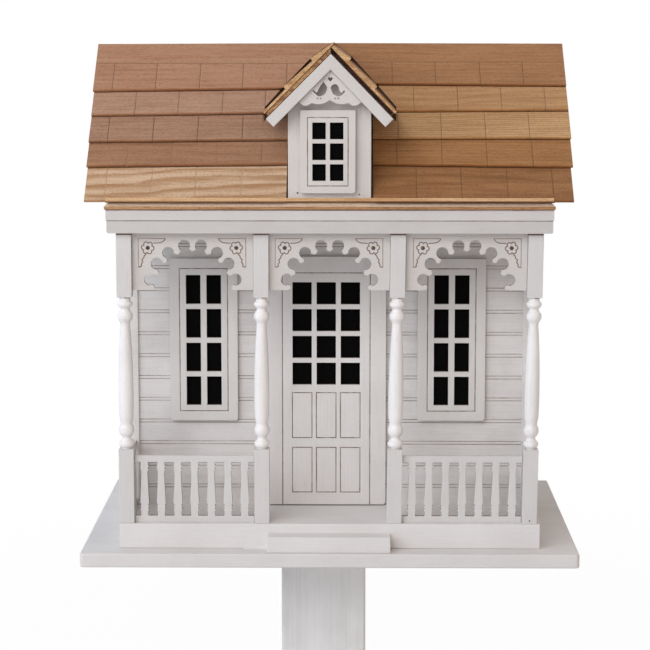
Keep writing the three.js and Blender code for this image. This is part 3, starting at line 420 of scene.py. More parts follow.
def timber(tree, given):
    """Planed softwood: growth rings down the slope, fibres and pores along it"""
    inputs = {0: turned_place(tree, given), 1: given["Shift"]}
    place = add_node(tree, "VectorMath", inputs, operation="ADD").outputs[0]
    across = add_node(tree, "SeparateXYZ", {"Vector": place}).outputs["Y"]
    swell = cloud(tree, stretched(tree, place, (7.0, 22.0, 22.0)), 1.0, 2.0, 0.4)
    ripple = cloud(tree, stretched(tree, place, (30.0, 160.0, 160.0)), 1.0)
    waver = calc(tree, "MULTIPLY", given["Waver"], 0.16)
    bent = calc(tree, "MULTIPLY", calc(tree, "SUBTRACT", swell, 0.5), waver)
    small = calc(tree, "MULTIPLY", calc(tree, "SUBTRACT", ripple, 0.5), 0.004)
    down = calc(tree, "ADD", across, calc(tree, "ADD", bent, small))
    phase = calc(tree, "FRACT", calc(tree, "MULTIPLY", down, given["Rings"]))
    early = ramp(tree, phase, 0.25, 0.86)
    late = calc(tree, "SUBTRACT", 1.0, ramp(tree, phase, 0.86, 1.0))
    ring = calc(tree, "MULTIPLY", calc(tree, "MULTIPLY", early, late), given["Ring strength"])
    fibre = streaks(tree, place, (38.0, 1500.0, 1500.0), 0.36, 0.72)
    flat = streaks(tree, place, (9.0, 45.0, 45.0), 0.35, 0.7)
    streak = streaks(tree, place, (22.0, 330.0, 330.0), 0.38, 0.68, 2.0)
    dashes = streaks(tree, place, (330.0, 1900.0, 1900.0), 0.53, 0.72, 2.0)
    speck = streaks(tree, place, (900.0, 1500.0, 1500.0), 0.46, 0.74, 2.0)
    pore = calc(tree, "MULTIPLY", dashes, given["Pores"])
    tone = calc(tree, "MULTIPLY_ADD", fibre, 0.26, ring)
    tone = calc(tree, "MULTIPLY_ADD", flat, 0.3, tone)
    tone = calc(tree, "MULTIPLY_ADD", speck, 0.6, tone)
    tone = calc(tree, "MULTIPLY_ADD", calc(tree, "SUBTRACT", streak, 0.5), 0.34, tone)
    tone = calc(tree, "ADD", tone, pore, clamp=True)
    colour = blend(tree, tone, given["Pale"], given["Deep"])
    sunk = calc(tree, "MULTIPLY_ADD", fibre, 0.4, pore)
    return colour, calc(tree, "MULTIPLY_ADD", fibre, 0.16, 0.62), calc(tree, "SUBTRACT", 1.0, sunk)


def ply_layers(tree, given):
    """Edge of plywood: bands of pale and deep veneer along a level that runs through them"""
    place = turned_place(tree, given)
    level = add_node(tree, "SeparateXYZ", {"Vector": place}).outputs["Z"]
    uneven = calc(tree, "MULTIPLY", calc(tree, "SUBTRACT", cloud(tree, place, 45.0), 0.5), 0.0006)
    above = calc(tree, "SUBTRACT", calc(tree, "ADD", level, uneven), given["Start"])
    swing = calc(tree, "PINGPONG", calc(tree, "DIVIDE", above, given["Layer"]), 1.0)
    band = ramp(tree, swing, 0.35, 0.65)
    fibres = streaks(tree, place, (60.0, 60.0, 2600.0), 0.35, 0.75)
    pits = streaks(tree, place, (300.0, 300.0, 1200.0), 0.6, 0.74)
    tone = calc(tree, "MULTIPLY_ADD", band, 0.5, calc(tree, "MULTIPLY", fibres, 0.3))
    tone = calc(tree, "MULTIPLY_ADD", pits, 0.45, tone, clamp=True)
    colour = blend(tree, tone, given["Pale"], given["Deep"])
    sunk = calc(tree, "MULTIPLY_ADD", band, 0.3, pits)
    return colour, calc(tree, "MULTIPLY_ADD", fibres, 0.15, 0.65), calc(tree, "SUBTRACT", 1.0, sunk)


PAINT_FILM = ("Paint film", paint_film, (
    ("Colour", "Color", (0.7, 0.7, 0.7, 1)),
    ("Shade", "Color", (0.6, 0.6, 0.6, 1)),
    ("Drift", "Float", 0.5),
    ("Lines", "Float", 0.3),
    ("Specks", "Float", 0.3),
    ("Grain", "Vector", (60, 900, 900)),
    ("Roughness", "Float", 0.5),
))
BURNT_LINE = ("Burnt line", burnt_line, (
    ("Paint", "Color", (0.7, 0.7, 0.7, 1)),
    ("Burn", "Color", (0.2, 0.1, 0.08, 1)),
    ("Strength", "Float", 0.7),
    ("Length", "Vector", (60, 200, 200)),
))
WOOD_INPUTS = (
    ("Pale", "Color", (0.6, 0.4, 0.25, 1)),
    ("Deep", "Color", (0.4, 0.25, 0.15, 1)),
    ("Turn", "Float", 0.0),
)
TIMBER = ("Timber", timber, (
    *WOOD_INPUTS,
    ("Rings", "Float", 150.0),
    ("Ring strength", "Float", 0.5),
    ("Waver", "Float", 0.2),
    ("Pores", "Float", 0.3),
    ("Shift", "Vector", (0, 0, 0)),
))
PLY_LAYERS = ("Ply layers", ply_layers, (
    *WOOD_INPUTS,
    ("Layer", "Float", 0.0016),
    ("Start", "Float", 0.0),
))


# ---------------------------------------------------------------- finishes


def new_finish(name):
    """A new material, its node tree and its shader"""
    made = bpy.data.materials.new(name)
    made.use_nodes = True
    return made, made.node_tree, made.node_tree.nodes["Principled BSDF"]


def set_bump(tree, shader, height, distance):
    bump = add_node(tree, "Bump", {"Height": height, "Strength": 1.0, "Distance": distance})
    plug(tree, bump.outputs[0], shader.inputs["Normal"])


def group_finish(name, group, values, relief, specular=0.5):
    """A finish whose colour, roughness and height come from a shared node group"""
    if name in bpy.data.materials:
        return bpy.data.materials[name]
    made, tree, shader = new_finish(name)
    out = add_node(tree, "Group", values, node_tree=shared_group(*group)).outputs
    plug(tree, out["Colour"], shader.inputs["Base Color"])
    plug(tree, out["Roughness"], shader.inputs["Roughness"])
    shader.inputs["Specular IOR Level"].default_value = specular
    set_bump(tree, shader, out["Height"], relief)
    return made


def painted(name, colour, shade, grain, drift=0.45, lines=0.18, specks=0.4, rough=0.5, relief=0.00012):
    values = {"Colour": colour, "Shade": shade, "Grain": grain, "Roughness": rough}
    values |= {"Drift": drift, "Lines": lines, "Specks": specks}
    return group_finish(name, PAINT_FILM, values, relief, 0.35)


ALONG_X = (45, 850, 850)
ALONG_Z = (850, 850, 45)


def white_paint(grain=ALONG_X):
    name = {ALONG_X: "White paint", ALONG_Z: "White paint upright"}[grain]
    return painted(name, looks().paint, looks().paint_shade, grain)


def light_shaded_paint(name, shares, grain=ALONG_X):
    """The white paint of a piece, made lighter or darker than the rest: painted light or painted shade
    in its colour
    """
    tone, shade = (
        tuple(min(0.95, c * share) for c, share in zip(each, shares))
        for each in (looks().paint, looks().paint_shade)
    )
    return painted(name, tone, shade, grain)


def lit_siding_paint():
    # The siding's paint is lighter than the white paint: painted light that makes up for the shade in
    # the porch
    tone = tuple(c * 1.15 for c in looks().paint)
    return painted("Siding paint", tone, looks().paint_shade, (30, 1100, 1100), 0.5, 0.3, 0.4, 0.6)


def groove_finish(name="Engraved line", strength=0.6, length=(40, 160, 160), base=None):
    values = {"Paint": base or looks().paint_shade, "Burn": looks().burn}
    values |= {"Strength": strength, "Length": length}
    return group_finish(name, BURNT_LINE, values, 0.0001)


def sawn_finish():
    """A sawn edge, scorched brown and thinly painted over"""
    return groove_finish("Sawn edge", 0.85, (260, 260, 260), (0.34, 0.25, 0.205))


def darker(tone, share):
    """A wood's tone with its two colours toned down and no rings"""
    pale, deep, *rest = tone
    return (tuple(c * share for c in pale), tuple(c * share for c in deep), rest[0], 0.0, rest[2], 0.7)


def plank_wood(name, tone, turn, seed):
    pale, deep, rings, strength, waver, pores = tone
    rng = random.Random(seed)
    values = {"Pale": linear(pale), "Deep": linear(deep), "Turn": turn, "Rings": rings}
    values |= {"Ring strength": strength, "Waver": waver, "Pores": pores}
    values["Shift"] = (rng.uniform(0, 3), rng.uniform(0, 3), 0)
    return group_finish(name, TIMBER, values, 0.00014, 0.25)


def ply_edge(name, turn, start, layer):
    values = {"Pale": looks().ply_pale, "Deep": looks().ply_deep}
    values |= {"Turn": turn, "Layer": layer, "Start": start}
    return group_finish(name, PLY_LAYERS, values, 0.0002, 0.25)


def black_card():
    name = "Black card"
    if name in bpy.data.materials:
        return bpy.data.materials[name]
    made, tree, shader = new_finish(name)
    fuzz = cloud(tree, seen_place(tree), 900.0)
    lighter = tuple(c * 1.9 for c in looks().card)
    colour = blend(tree, ramp(tree, fuzz, 0.45, 0.8), looks().card, lighter)
    plug(tree, colour, shader.inputs["Base Color"])
    plug(tree, calc(tree, "MULTIPLY_ADD", fuzz, 0.15, 0.75), shader.inputs["Roughness"])
    shader.inputs["Specular IOR Level"].default_value = 0.03
    set_bump(tree, shader, fuzz, 0.00005)
    return made


def metal(name, colour, rough):
    if name in bpy.data.materials:
        return bpy.data.materials[name]
    made, tree, shader = new_finish(name)
    place = seen_place(tree)
    tarnish = ramp(tree, cloud(tree, place, 380.0, 4.0), 0.45, 0.75)
    scratches = cloud(tree, stretched(tree, place, (300.0, 300.0, 4000.0)), 1.0)
    dull = tuple(c * 0.62 for c in colour)
    plug(tree, blend(tree, tarnish, colour, dull), shader.inputs["Base Color"])
    worn = calc(tree, "MULTIPLY_ADD", tarnish, 0.25, rough)
    plug(tree, calc(tree, "MULTIPLY_ADD", scratches, 0.12, worn), shader.inputs["Roughness"])
    shader.inputs["Metallic"].default_value = 1.0
    set_bump(tree, shader, scratches, 0.00003)
    return made


def linear(colour):
    """A colour as it is seen, turned into light values"""
    return tuple(c / 12.92 if c <= 0.04045 else ((c + 0.055) / 1.055) ** 2.4 for c in colour)


# ---------------------------------------------------------------- mesh tools


def link_mesh(name, bm):
    """A new object of the scene, made from a finished mesh"""
    mesh = bpy.data.meshes.new(name)
    bm.to_mesh(mesh)
    bm.free()
    made = bpy.data.objects.new(name, mesh)
    bpy.context.scene.collection.objects.link(made)
    return made


def smooth_faces(piece, sharp=35):
    """Shades a piece smooth up to its sharp edges, and its wide faces flat beside eased edges"""
    mesh = piece.data
    mesh.polygons.foreach_set("use_smooth", [True] * len(mesh.polygons))
    mesh.set_sharp_from_angle(angle=math.radians(sharp))
    made = piece.modifiers.new("level faces", "WEIGHTED_NORMAL")
    made.mode = "FACE_AREA"
    made.weight = 100
    made.keep_sharp = True


def place_piece(name, bm, finishes, replaces=(), body="house", sharp=35):
    """Turns a mesh into a piece that rides on a body and stands for its nodes"""
    bmesh.ops.recalc_face_normals(bm, faces=bm.faces)
    made = link_mesh(name, bm)
    for finish in finishes:
        made.data.materials.append(finish)
    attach(made, body)
    if replaces:
        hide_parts(*replaces)
    smooth_faces(made, sharp)
    return made


def cover_node(node, ending, bm, finishes, body="house", sharp=35):
    """Turns a mesh into the piece that stands for one node, and bears its name and an ending"""
    return place_piece(node + ending, bm, finishes, (node,), body, sharp)


def node_mesh(node):
    """A welded copy of a node's mesh"""
    bm = bmesh.new()
    bm.from_mesh(frame["nodes"][node].data)
    bmesh.ops.remove_doubles(bm, verts=bm.verts, dist=2e-6)
    bm.normal_update()
    return bm


def board_mesh(node):
    """The same, without the lines that split its flat faces"""
    bm = node_mesh(node)
    bmesh.ops.dissolve_limit(bm, angle_limit=0.02, verts=bm.verts, edges=bm.edges)
    return bm


def bevel(bm, edges, width, segments):
    shape = {"offset_type": "OFFSET", "profile": 0.5, "affect": "EDGES", "clamp_overlap": True}
    bmesh.ops.bevel(bm, geom=edges, offset=width, segments=segments, **shape)


def ease(bm, width, keep=None, angle=40, segments=2):
    """Rounds the sharp edges, or only those that keep picks"""
    chosen = []
    for edge in bm.edges:
        if len(edge.link_faces) != 2 or edge.calc_face_angle(0) < math.radians(angle):
            continue
        if keep is None or keep(edge):
            chosen.append(edge)
    bevel(bm, chosen, width, segments)


def add_block(bm, low, high, width, segments=2):
    """A box with eased edges, in millimetres"""
    low, high = Vector(low) * MM, Vector(high) * MM
    made = bmesh.ops.create_cube(bm, size=1.0)["verts"]
    for vert in made:
        vert.co = Vector(tuple(high[k] if vert.co[k] > 0 else low[k] for k in range(3)))
    bevel(bm, list({edge for vert in made for edge in vert.link_edges}), width, segments)


def circle(centre, across, upright, radius, sides, start=0.0):
    """Points round a centre"""
    turns = [start + 2 * math.pi * k / sides for k in range(sides)]
    return [centre + radius * (math.cos(turn) * across + math.sin(turn) * upright) for turn in turns]


def skin(bm, rings, finish=0, closed=False, cap=None):
    """Faces between rings of points, with a cap at each end unless the last ring meets the first.

    The caps have the finish of the other faces, or another one if cap gives it."""
    rings = [[bm.verts.new(point) for point in ring] for ring in rings]
    for ring, other in zip(rings, rings[1:] + rings[:1] if closed else rings[1:]):
        size = len(ring)
        for k in range(size):
            corners = (ring[k], ring[(k + 1) % size], other[(k + 1) % size], other[k])
            bm.faces.new(corners).material_index = finish
    if not closed:
        for ring in (rings[0], rings[-1]):
            bm.faces.new(ring).material_index = finish if cap is None else cap


def tube(bm, points, radius, sides=6, finish=0, closed=False):
    """A thin rod along points in metres"""
    count = len(points)
    rings = []
    for i, point in enumerate(points):
        before = points[i - 1] if i or closed else point
        after = points[(i + 1) % count] if i < count - 1 or closed else point
        along = (after - before).normalized()
        side = along.cross(Vector((0, 1, 0)))
        side = side.normalized() if side.length > 1e-6 else Vector((1, 0, 0))
        rings.append(circle(point, side, side.cross(along), radius, sides))
    skin(bm, rings, finish, closed)


def rounded(points, steps=6):
    """A smooth line through points in a plane"""
    out = []
    count = len(points)
    for i in range(count - 1):
        p0 = Vector(points[max(i - 1, 0)])
        p1, p2 = Vector(points[i]), Vector(points[i + 1])
        p3 = Vector(points[min(i + 2, count - 1)])
        for k in range(steps):
            t = k / steps
            a = 2 * p1
            b = (p2 - p0) * t
            c = (2 * p0 - 5 * p1 + 4 * p2 - p3) * t * t
            d = (3 * p1 - p0 - 3 * p2 + p3) * t**3
            out.append((a + b + c + d) / 2)
    out.append(Vector(points[-1]))
    return out


def cut_away(piece, cutter):
    """Cuts one closed piece out of another"""
    cut = piece.modifiers.new("cut", "BOOLEAN")
    cut.operation = "DIFFERENCE"
    cut.solver = "EXACT"
    cut.object = cutter
    seen = bpy.context.evaluated_depsgraph_get()
    mesh = bpy.data.meshes.new_from_object(piece.evaluated_get(seen))
    if not mesh.polygons:
        raise RuntimeError("nothing is left of " + piece.name)
    piece.modifiers.clear()
    piece.data = mesh
    smooth_faces(piece)


def cutter_piece(bm):
    bmesh.ops.recalc_face_normals(bm, faces=bm.faces)
    return link_mesh("cutter", bm)


def mark_sunk_faces(bm, axis, face, depth):
    """Gives the second finish to the faces that lie just under a flat face"""
    sign = 1 if depth > 0 else -1
    for each in bm.faces:
        below = (each.calc_center_median()[axis] - face) * sign
        if 0.00004 < below < abs(depth) + 0.00003:
            each.material_index = 1


def mark_sawn_faces(bm, low, high, finish):
    """Gives another finish to the sawn edges inside a sheet that stands square to the depth"""
    for each in bm.faces:
        middle = each.calc_center_median()
        rim = min(middle.x - low.x, high.x - middle.x, middle.z - low.z, high.z - middle.z)
        if abs(each.normal.y) < 0.3 and rim > 0.0005 and each.material_index == 0:
            each.material_index = finish


def shade_band(bm, low, high, finish):
    """Gives another finish to the upright faces between two heights"""
    for level in (low, high):
        geometry = [*bm.verts, *bm.edges, *bm.faces]
        bmesh.ops.bisect_plane(bm, geom=geometry, plane_co=(0, 0, level), plane_no=(0, 0, 1), dist=1e-7)
    bm.normal_update()
    for face in bm.faces:
        if low < face.calc_center_median().z < high and abs(face.normal.z) < 0.5:
            face.material_index = finish


def add_boss(bm, centre, radius, rise, sides=10):
    """A small domed spot on a face towards the front"""
    rings = []
    for out, up in ((1.0, -0.15), (1.0, 0.35), (0.7, 0.85), (0.3, 1.0)):
        middle = centre + Vector((0, -rise * up, 0))
        rings.append(circle(middle, Vector((1, 0, 0)), Vector((0, 0, 1)), radius * out, sides))
    skin(bm, rings)


# ---------------------------------------------------------------- post and boards


def eased_board(name, width, finish):
    bm = board_mesh(name)
    ease(bm, width)
    cover_node(name, "_board", bm, [finish])


def make_mounting_post():
    # Painted light: the post's paint is lighter to make up for the shade under the base
    paint = looks().post_paint
    shade = tuple(c * 0.72 for c in paint)
    finish = painted("Mounting post paint", paint, shade, (420, 420, 9), 0.3, 0.28, 0.35, 0.62, 0.00015)
    eased_board("mounting_post", POST_CORNER, finish)


def make_base():
    bm = node_mesh("base_board")
    # The base, the slab and the step get lighter paint than the white paint: painted light
    low_paint = light_shaded_paint("Base paint", (1.08, 1.08, 1.08))
    floor_paint = light_shaded_paint("Floor paint", (1.15, 1.15, 1.155))
    cover_node("base_board", "_eased", bm, [low_paint], sharp=50)
    eased_board("floor_slab", detail().board_edge, floor_paint)
    eased_board("front_step", detail().board_edge, floor_paint)


def make_glue_bead():
    """The bead of filler where the step meets the slab, on the left"""
    tones = (looks().paint, looks().paint_shade)
    finish = painted("Filler bead", *tones, ALONG_X, 0.3, 0.2, 0.4, 0.4, 0.0002)
    low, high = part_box("front_step")
    corner = Vector((low.x + 0.0004, high.y, low.z))
    rings = []
    steps = 26
    for i in range(steps + 1):
        t = i / steps
        size = (0.0005 + 0.0024 * t**3) * (1 + 0.22 * noise.noise(Vector((i * 0.9, 4, 2))))
        ring = [(0.0004, -0.0003), (-size, -0.0003)]
        ring += [(-size * out, size * up) for out, up in ((0.62, 0.36), (0.36, 0.74), (0.1, 1.5))]
        ring.append((0.0004, size * 1.6))
        rings.append([corner + Vector((-0.018 * (1 - t), y, z)) for y, z in ring])
    bm = bmesh.new()
    skin(bm, rings)
    place_piece("filler_bead", bm, [finish], sharp=60)


# ---------------------------------------------------------------- walls


def sided_wall(name, axis, face, inward, edges=None):
    bm = node_mesh(name)
    mark_sunk_faces(bm, axis, face, inward * ENGRAVING)
    if edges:
        ease(bm, detail().board_edge, keep=edges)
    cover_node(name, "_siding", bm, [lit_siding_paint(), groove_finish()])


def make_walls():
    sided_wall("front_wall", 1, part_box("front_wall")[0].y, 1)
    for name, sign in (("left_wall", -1), ("right_wall", 1)):
        low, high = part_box(name)

        def corner(edge, low=low, high=high):
            a, b = edge.verts[0].co, edge.verts[1].co
            if abs(a.x - b.x) > 1e-6 or abs(a.y - b.y) > 1e-6:
                return False
            return min(abs(a.y - low.y), abs(a.y - high.y)) < 1e-6

        sided_wall(name, 0, high.x if sign > 0 else low.x, -sign, corner)
    sided_wall("rear_wall", 1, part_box("rear_wall")[1].y, -1)
    for name, sign in (("gable_left", -1), ("gable_right", 1)):
        low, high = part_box(name)
        sided_wall(name, 0, high.x if sign > 0 else low.x, -sign)


# ---------------------------------------------------------------- windows and door


def make_plate(name):
    """A plate with sawn panes: its engraved rings turn brown, its sawn edges take the scorched finish
    and its outer front edges are eased
    """
    low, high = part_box(name)
    bm = node_mesh(name)
    mark_sunk_faces(bm, 1, low.y, ENGRAVING)
    for face in bm.faces:
        if face.material_index == 1 and abs(face.normal.y) < 0.5:
            face.material_index = 2

    def front_edge(edge):
        if any(abs(vert.co.y - low.y) > 1e-6 for vert in edge.verts):
            return False
        return all(face.material_index == 0 for face in edge.link_faces)

    mark_sawn_faces(bm, low, high, 3)
    ease(bm, detail().sheet_edge * 0.6, keep=front_edge)
    line = groove_finish("Plate line", 0.95, (160, 160, 60), (0.52, 0.47, 0.44))
    # The door and window plates get lighter paint than the white paint as painted light; the dormer's
    # plate gets darker paint as painted shade
    label, shares = {
        "door_plate": ("Door paint", (1.15, 1.15, 1.145)),
        "dormer_window_plate": ("Dormer paint upright", DORMER_UPRIGHT_SHADE),
    }.get(name, ("Window paint", (1.06, 1.06, 1.05)))
    paint = light_shaded_paint(label, shares, ALONG_Z)
    cover_node(name, "_sawn", bm, [paint, line, line, sawn_finish()])


def make_windows():
    for side in ("left", "right"):
        make_plate(side + "_window_plate")
    make_plate("dormer_window_plate")
    make_plate("door_plate")
    for name in ("left_window_card", "right_window_card", "door_card", "dormer_window_card"):
        for place in frame["nodes"][name].material_slots:
            place.material = black_card()


# ---------------------------------------------------------------- porch


def make_porch_post(name, seed):
    """Two square blocks and the turning between them; the post leans as its node does"""
    low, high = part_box(name)
    corners = [vert.co for vert in frame["nodes"][name].data.vertices]
    heights = [co.z for co in corners]
    footing = [co.x for co in corners if co.z < min(heights) + 0.00001]
    heading = [co.x for co in corners if co.z > max(heights) - 0.00001]
    drift = (min(heading) + max(heading) - min(footing) - max(footing)) / 2 / MM
    half = (max(footing) - min(footing)) / 2 / MM
    middle_y = (low.y + high.y) / 2 / MM
    middle_x = high.x / MM - (max(c.x for c in corners) - (min(footing) + max(footing)) / 2) / MM
    foot, head = low.z / MM, high.z / MM - 0.05
    bm = bmesh.new()
    for bottom, top in ((foot, foot + LOWER_BLOCK), (head - UPPER_BLOCK, head)):
        near = (middle_x - half, middle_y - half, bottom)
        far = (middle_x + half, middle_y + half, top)
        add_block(bm, near, far, detail().post_edge)
    turned = head - foot - LOWER_BLOCK - UPPER_BLOCK
    profile = rounded([(share * turned, out * half) for share, out in TURNING], 3)
    profile = [Vector((-TENON, profile[0][1])), *profile, Vector((turned + TENON, profile[-1][1]))]
    spin = random.Random(seed).uniform(0, math.pi)
    rings = []
    for up, out in profile:
        wobble = 1 + 0.006 * noise.noise(Vector((up * 0.2, seed, 0)))
        centre = Vector((middle_x, middle_y, foot + LOWER_BLOCK + up))
        reach = min(out * wobble, half * 1.02)
        ring = circle(centre, Vector((1, 0, 0)), Vector((0, 1, 0)), reach, POST_SIDES, spin)
        rings.append([point * MM for point in ring])
    skin(bm, rings, 1, cap=0)
    # Painted shade: a dark band round the post's head where the gap under the cornice lies in shade, and
    # one on the right half under the upper block
    shade_band(bm, (head - HEAD_SHADE) * MM, (head + 0.1) * MM, 2)
    joint = (head - UPPER_BLOCK) * MM
    shade_foot = joint - BLOCK_SHADE * MM
    for face in bm.faces:
        middle = face.calc_center_median()
        if face.material_index == 1 and shade_foot < middle.z < joint and middle.x > middle_x * MM:
            face.material_index = 2
    for vert in bm.verts:
        vert.co.x += drift * MM * (vert.co.z / MM - foot) / (high.z / MM - foot)
    # Painted highlight: the turning's paint is brighter than the white paint, beside its real gloss
    bright = tuple(min(1.0, c * POST_PAINTED_SHEEN) for c in looks().paint)
    gloss = painted("Post gloss", bright, looks().paint_shade, ALONG_Z, 0.2, 0.15, 0.2, 0.17)
    gap_shade = groove_finish("Post seam", 1.0, (160, 160, 40), (0.20, 0.13, 0.10))
    cover_node(name, "_turned", bm, [white_paint(ALONG_Z), gloss, gap_shade], sharp=42)


def make_posts():
    for i in range(4):
        make_porch_post("porch_post_%d" % (i + 1), 11 + i)


def make_railings():
    for name in ("front_railing_left", "front_railing_right", "side_railing_left", "side_railing_right"):
        bm = node_mesh(name)
        low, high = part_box(name)
        if "front" in name:
            mark_sawn_faces(bm, low, high, 1)
        ease(bm, detail().sheet_edge * 0.7)
        cover_node(name, "_sawn", bm, [white_paint(ALONG_Z), sawn_finish()])


def flower_lines():
    """The lines of one side of a bracket: points from its middle and top edge, whether they close,
    their width as a share, and their finish"""
    flower = Vector((-31.35, -10.7))
    petals = []
    for k in range(72):
        turn = 2 * math.pi * k / 72
        reach = 2.85 + 1.6 * abs(math.cos(3 * turn + 0.3)) ** 0.55
        petals.append(flower + reach * Vector((math.cos(turn), math.sin(turn))))
    lines = [(petals, True, 1.0, 1)]
    for reach, width in ((0.95, 1.3), (0.4, 1.6)):
        lines.append((circle(flower, Vector((1, 0)), Vector((0, 1)), reach, 12), True, width, 3))
    lines.append(([(-38.1, -24.4), (-38.05, -3.9)], False, 0.85, 4))
    lines.append(([(-38.05, -3.9), (-18.7, -4.05)], False, 0.85, 4))
    curl = [(-18.7, -4.05), (-19.9, -5.7), (-22.0, -6.9), (-24.4, -7.2), (-27.4, -7.4)]
    lines.append((rounded(curl, 4), False, 0.95, 1))
    tendril = [(-32.4, -15.0), (-33.9, -16.5), (-34.2, -17.8), (-35.5, -19.2), (-35.0, -20.8)]
    tendril += [(-36.0, -22.1), (-36.1, -23.9), (-38.1, -24.4)]
    lines.append((rounded(tendril, 4), False, 1.0, 1))
    return lines


def make_brackets():
    engraved = groove_finish("Bracket engraving", 0.92, (220, 220, 220), (0.23, 0.16, 0.125))
    heart = groove_finish("Bracket flower heart", 0.9, (220, 220, 220), (0.07, 0.045, 0.04))
    border = groove_finish("Bracket border line", 0.7, (160, 160, 160), (0.40, 0.33, 0.29))
    # The brackets' paint is darker than the white paint: painted shade under the cornice
    paint = light_shaded_paint("Bracket paint", (0.95, 0.93, 0.905))
    radius = detail().engraving_width / 2
    shifts = {"bracket_left": -0.0004, "bracket_centre": -0.0005, "bracket_right": 0.0004}
    for name, shift in shifts.items():
        low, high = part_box(name)
        bm = node_mesh(name)
        mark_sawn_faces(bm, low, high, 2)
        ease(bm, detail().sheet_edge * 0.8)
        corner = Vector(((low.x + high.x) / 2 + shift, low.y + radius * 0.72, high.z))
        for sign in (-1, 1):
            for points, closed, width, finish in flower_lines():
                path = [corner + Vector((-sign * x * MM, 0, z * MM)) for x, z in points]
                tube(bm, path, radius * width, finish=finish, closed=closed)
        cover_node(name, "_sawn", bm, [paint, engraved, sawn_finish(), heart, border])


# ---------------------------------------------------------------- roof


def make_cornice():
    bm = node_mesh("cornice")
    low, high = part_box("cornice")
    hung = [f for f in bm.faces if f.normal.z < -0.5 and f.calc_center_median().z > low.z + 0.002]
    step = min((vert.co.z for face in hung for vert in face.verts), default=(low.z + high.z) / 2)
    ease(bm, detail().sheet_edge)
    # Painted shadow: a dark line under the step and another along the top under the roof plate
    step_shade_foot = step - CORNICE_STEP_SHADE
    shade_band(bm, low.z - 0.0001, step_shade_foot, 2)
    shade_band(bm, step_shade_foot, step + 0.00012, 1)
    shade_band(bm, high.z - CORNICE_TOP_SHADE, high.z - 0.0001, 1)
    shadow = groove_finish("Cornice step line", 0.75, (60, 200, 200), (0.50, 0.46, 0.44))
    # Both paints are darker than the white paint: painted shade, the lower board darker still
    paint = light_shaded_paint("Cornice paint", (0.96, 0.95, 0.94))
    lower_paint = light_shaded_paint("Cornice lower paint", (0.89, 0.88, 0.865))
    cover_node("cornice", "_board", bm, [paint, shadow, lower_paint])
    low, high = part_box("roof_plate")
    bm = node_mesh("roof_plate")

    def lower_edge(edge):
        return all(vert.co.z < low.z + 0.00001 for vert in edge.verts)

    ease(bm, ROOF_PLATE_CHAMFER, keep=lower_edge, segments=1)
    # The lower chamfer gets darker wood as painted shadow, and the upward bevel lighter wood as painted
    # light
    for face in bm.faces:
        middle = face.calc_center_median()
        if middle.z < low.z + ROOF_PLATE_CHAMFER + 0.00005 and face.normal.z > -0.95:
            face.material_index = 2
        elif 0.3 < face.normal.z < 0.95:
            face.material_index = 1
    ease(bm, PLY_ROUNDING)
    golden = ((0.755, 0.585, 0.425), (0.59, 0.41, 0.26), 300, 0.3, 0.1, 0.9)
    lit_bevel_tone = ((0.97, 0.89, 0.80), (0.86, 0.74, 0.62), 300, 0.3, 0.1, 0.9)
    finishes = [
        plank_wood("Roof plate ply", golden, 0.0, 31),
        plank_wood("Roof plate bevel", lit_bevel_tone, 0.0, 32),
        plank_wood("Roof plate shadow edge", darker(golden, 0.36), 0.0, 33),
    ]
    cover_node("roof_plate", "_ply", bm, finishes)


def make_roof_panels():
    level = RIDGE_TOP * math.cos(ROOF_ANGLE) * MM
    for name, sign in (("roof_panel_front", -1), ("roof_panel_rear", 1)):
        bm = node_mesh(name)
        ease(bm, PLY_ROUNDING)
        # The panels' upper faces get a near-black finish: painted shade, seen in the gap beside the
        # dormer
        for face in bm.faces:
            if face.normal.z > 0.3:
                face.material_index = 1
        finish = ply_edge(name + " ply", sign * ROOF_ANGLE, level - 0.004, 0.00135)
        painted_top_shade = groove_finish("Stained board top", 1.0, (90, 90, 90), (0.10, 0.07, 0.055))
        cover_node(name, "_ply", bm, [finish, painted_top_shade])
    bm = board_mesh("eave_strip")
    ease(bm, 0.00025)
    tone = ((0.87, 0.72, 0.55), (0.74, 0.56, 0.38), 300, 0.3, 0.1, 0.5)
    cover_node("eave_strip", "_wood", bm, [plank_wood("Eave strip", tone, 0.0, 77)])


def slope_point(ridge, angle, side, s, h):
    """A point on a roof slope: s runs down it from the ridge, h stands square off it"""
    out = s * math.cos(angle) + h * math.sin(angle)
    return side * out, ridge - s * math.sin(angle) + h * math.cos(angle)


def course_rises(butts, rise=EAVE_RISE):
    """Start, butt and rise of each course, from the butts in the middle of the planks"""
    uppers = [0.0, *(butt - LAP for butt in butts)]
    courses = [{"upper": upper, "butt": butt, "rise": rise} for upper, butt in zip(uppers, butts)]
    for course, below in reversed(list(zip(courses, courses[1:]))):
        share = (course["butt"] - below["upper"]) / (below["butt"] - below["upper"])
        course["rise"] = below["rise"] * share + SHINGLE + SEAT
    return courses


def wandering(x, ends, reach, seed, waver):
    """Where a butt lies at a place along the roof, from its levels at the two ends of the plank"""
    level = ends[1] + (ends[0] - ends[1]) * min(abs(x), reach) / reach
    slow, quick = noise.noise(Vector((x * 0.05, seed, 0))), noise.noise(Vector((x * 0.4, seed, 7)))
    return level + waver * (slow + 0.5 * quick)


# Finishes of a plank: its wood, its scored lines, its butt and the painted shade under the butt above it
WOOD, SCORE, BUTT, LAP_SHADE = range(4)


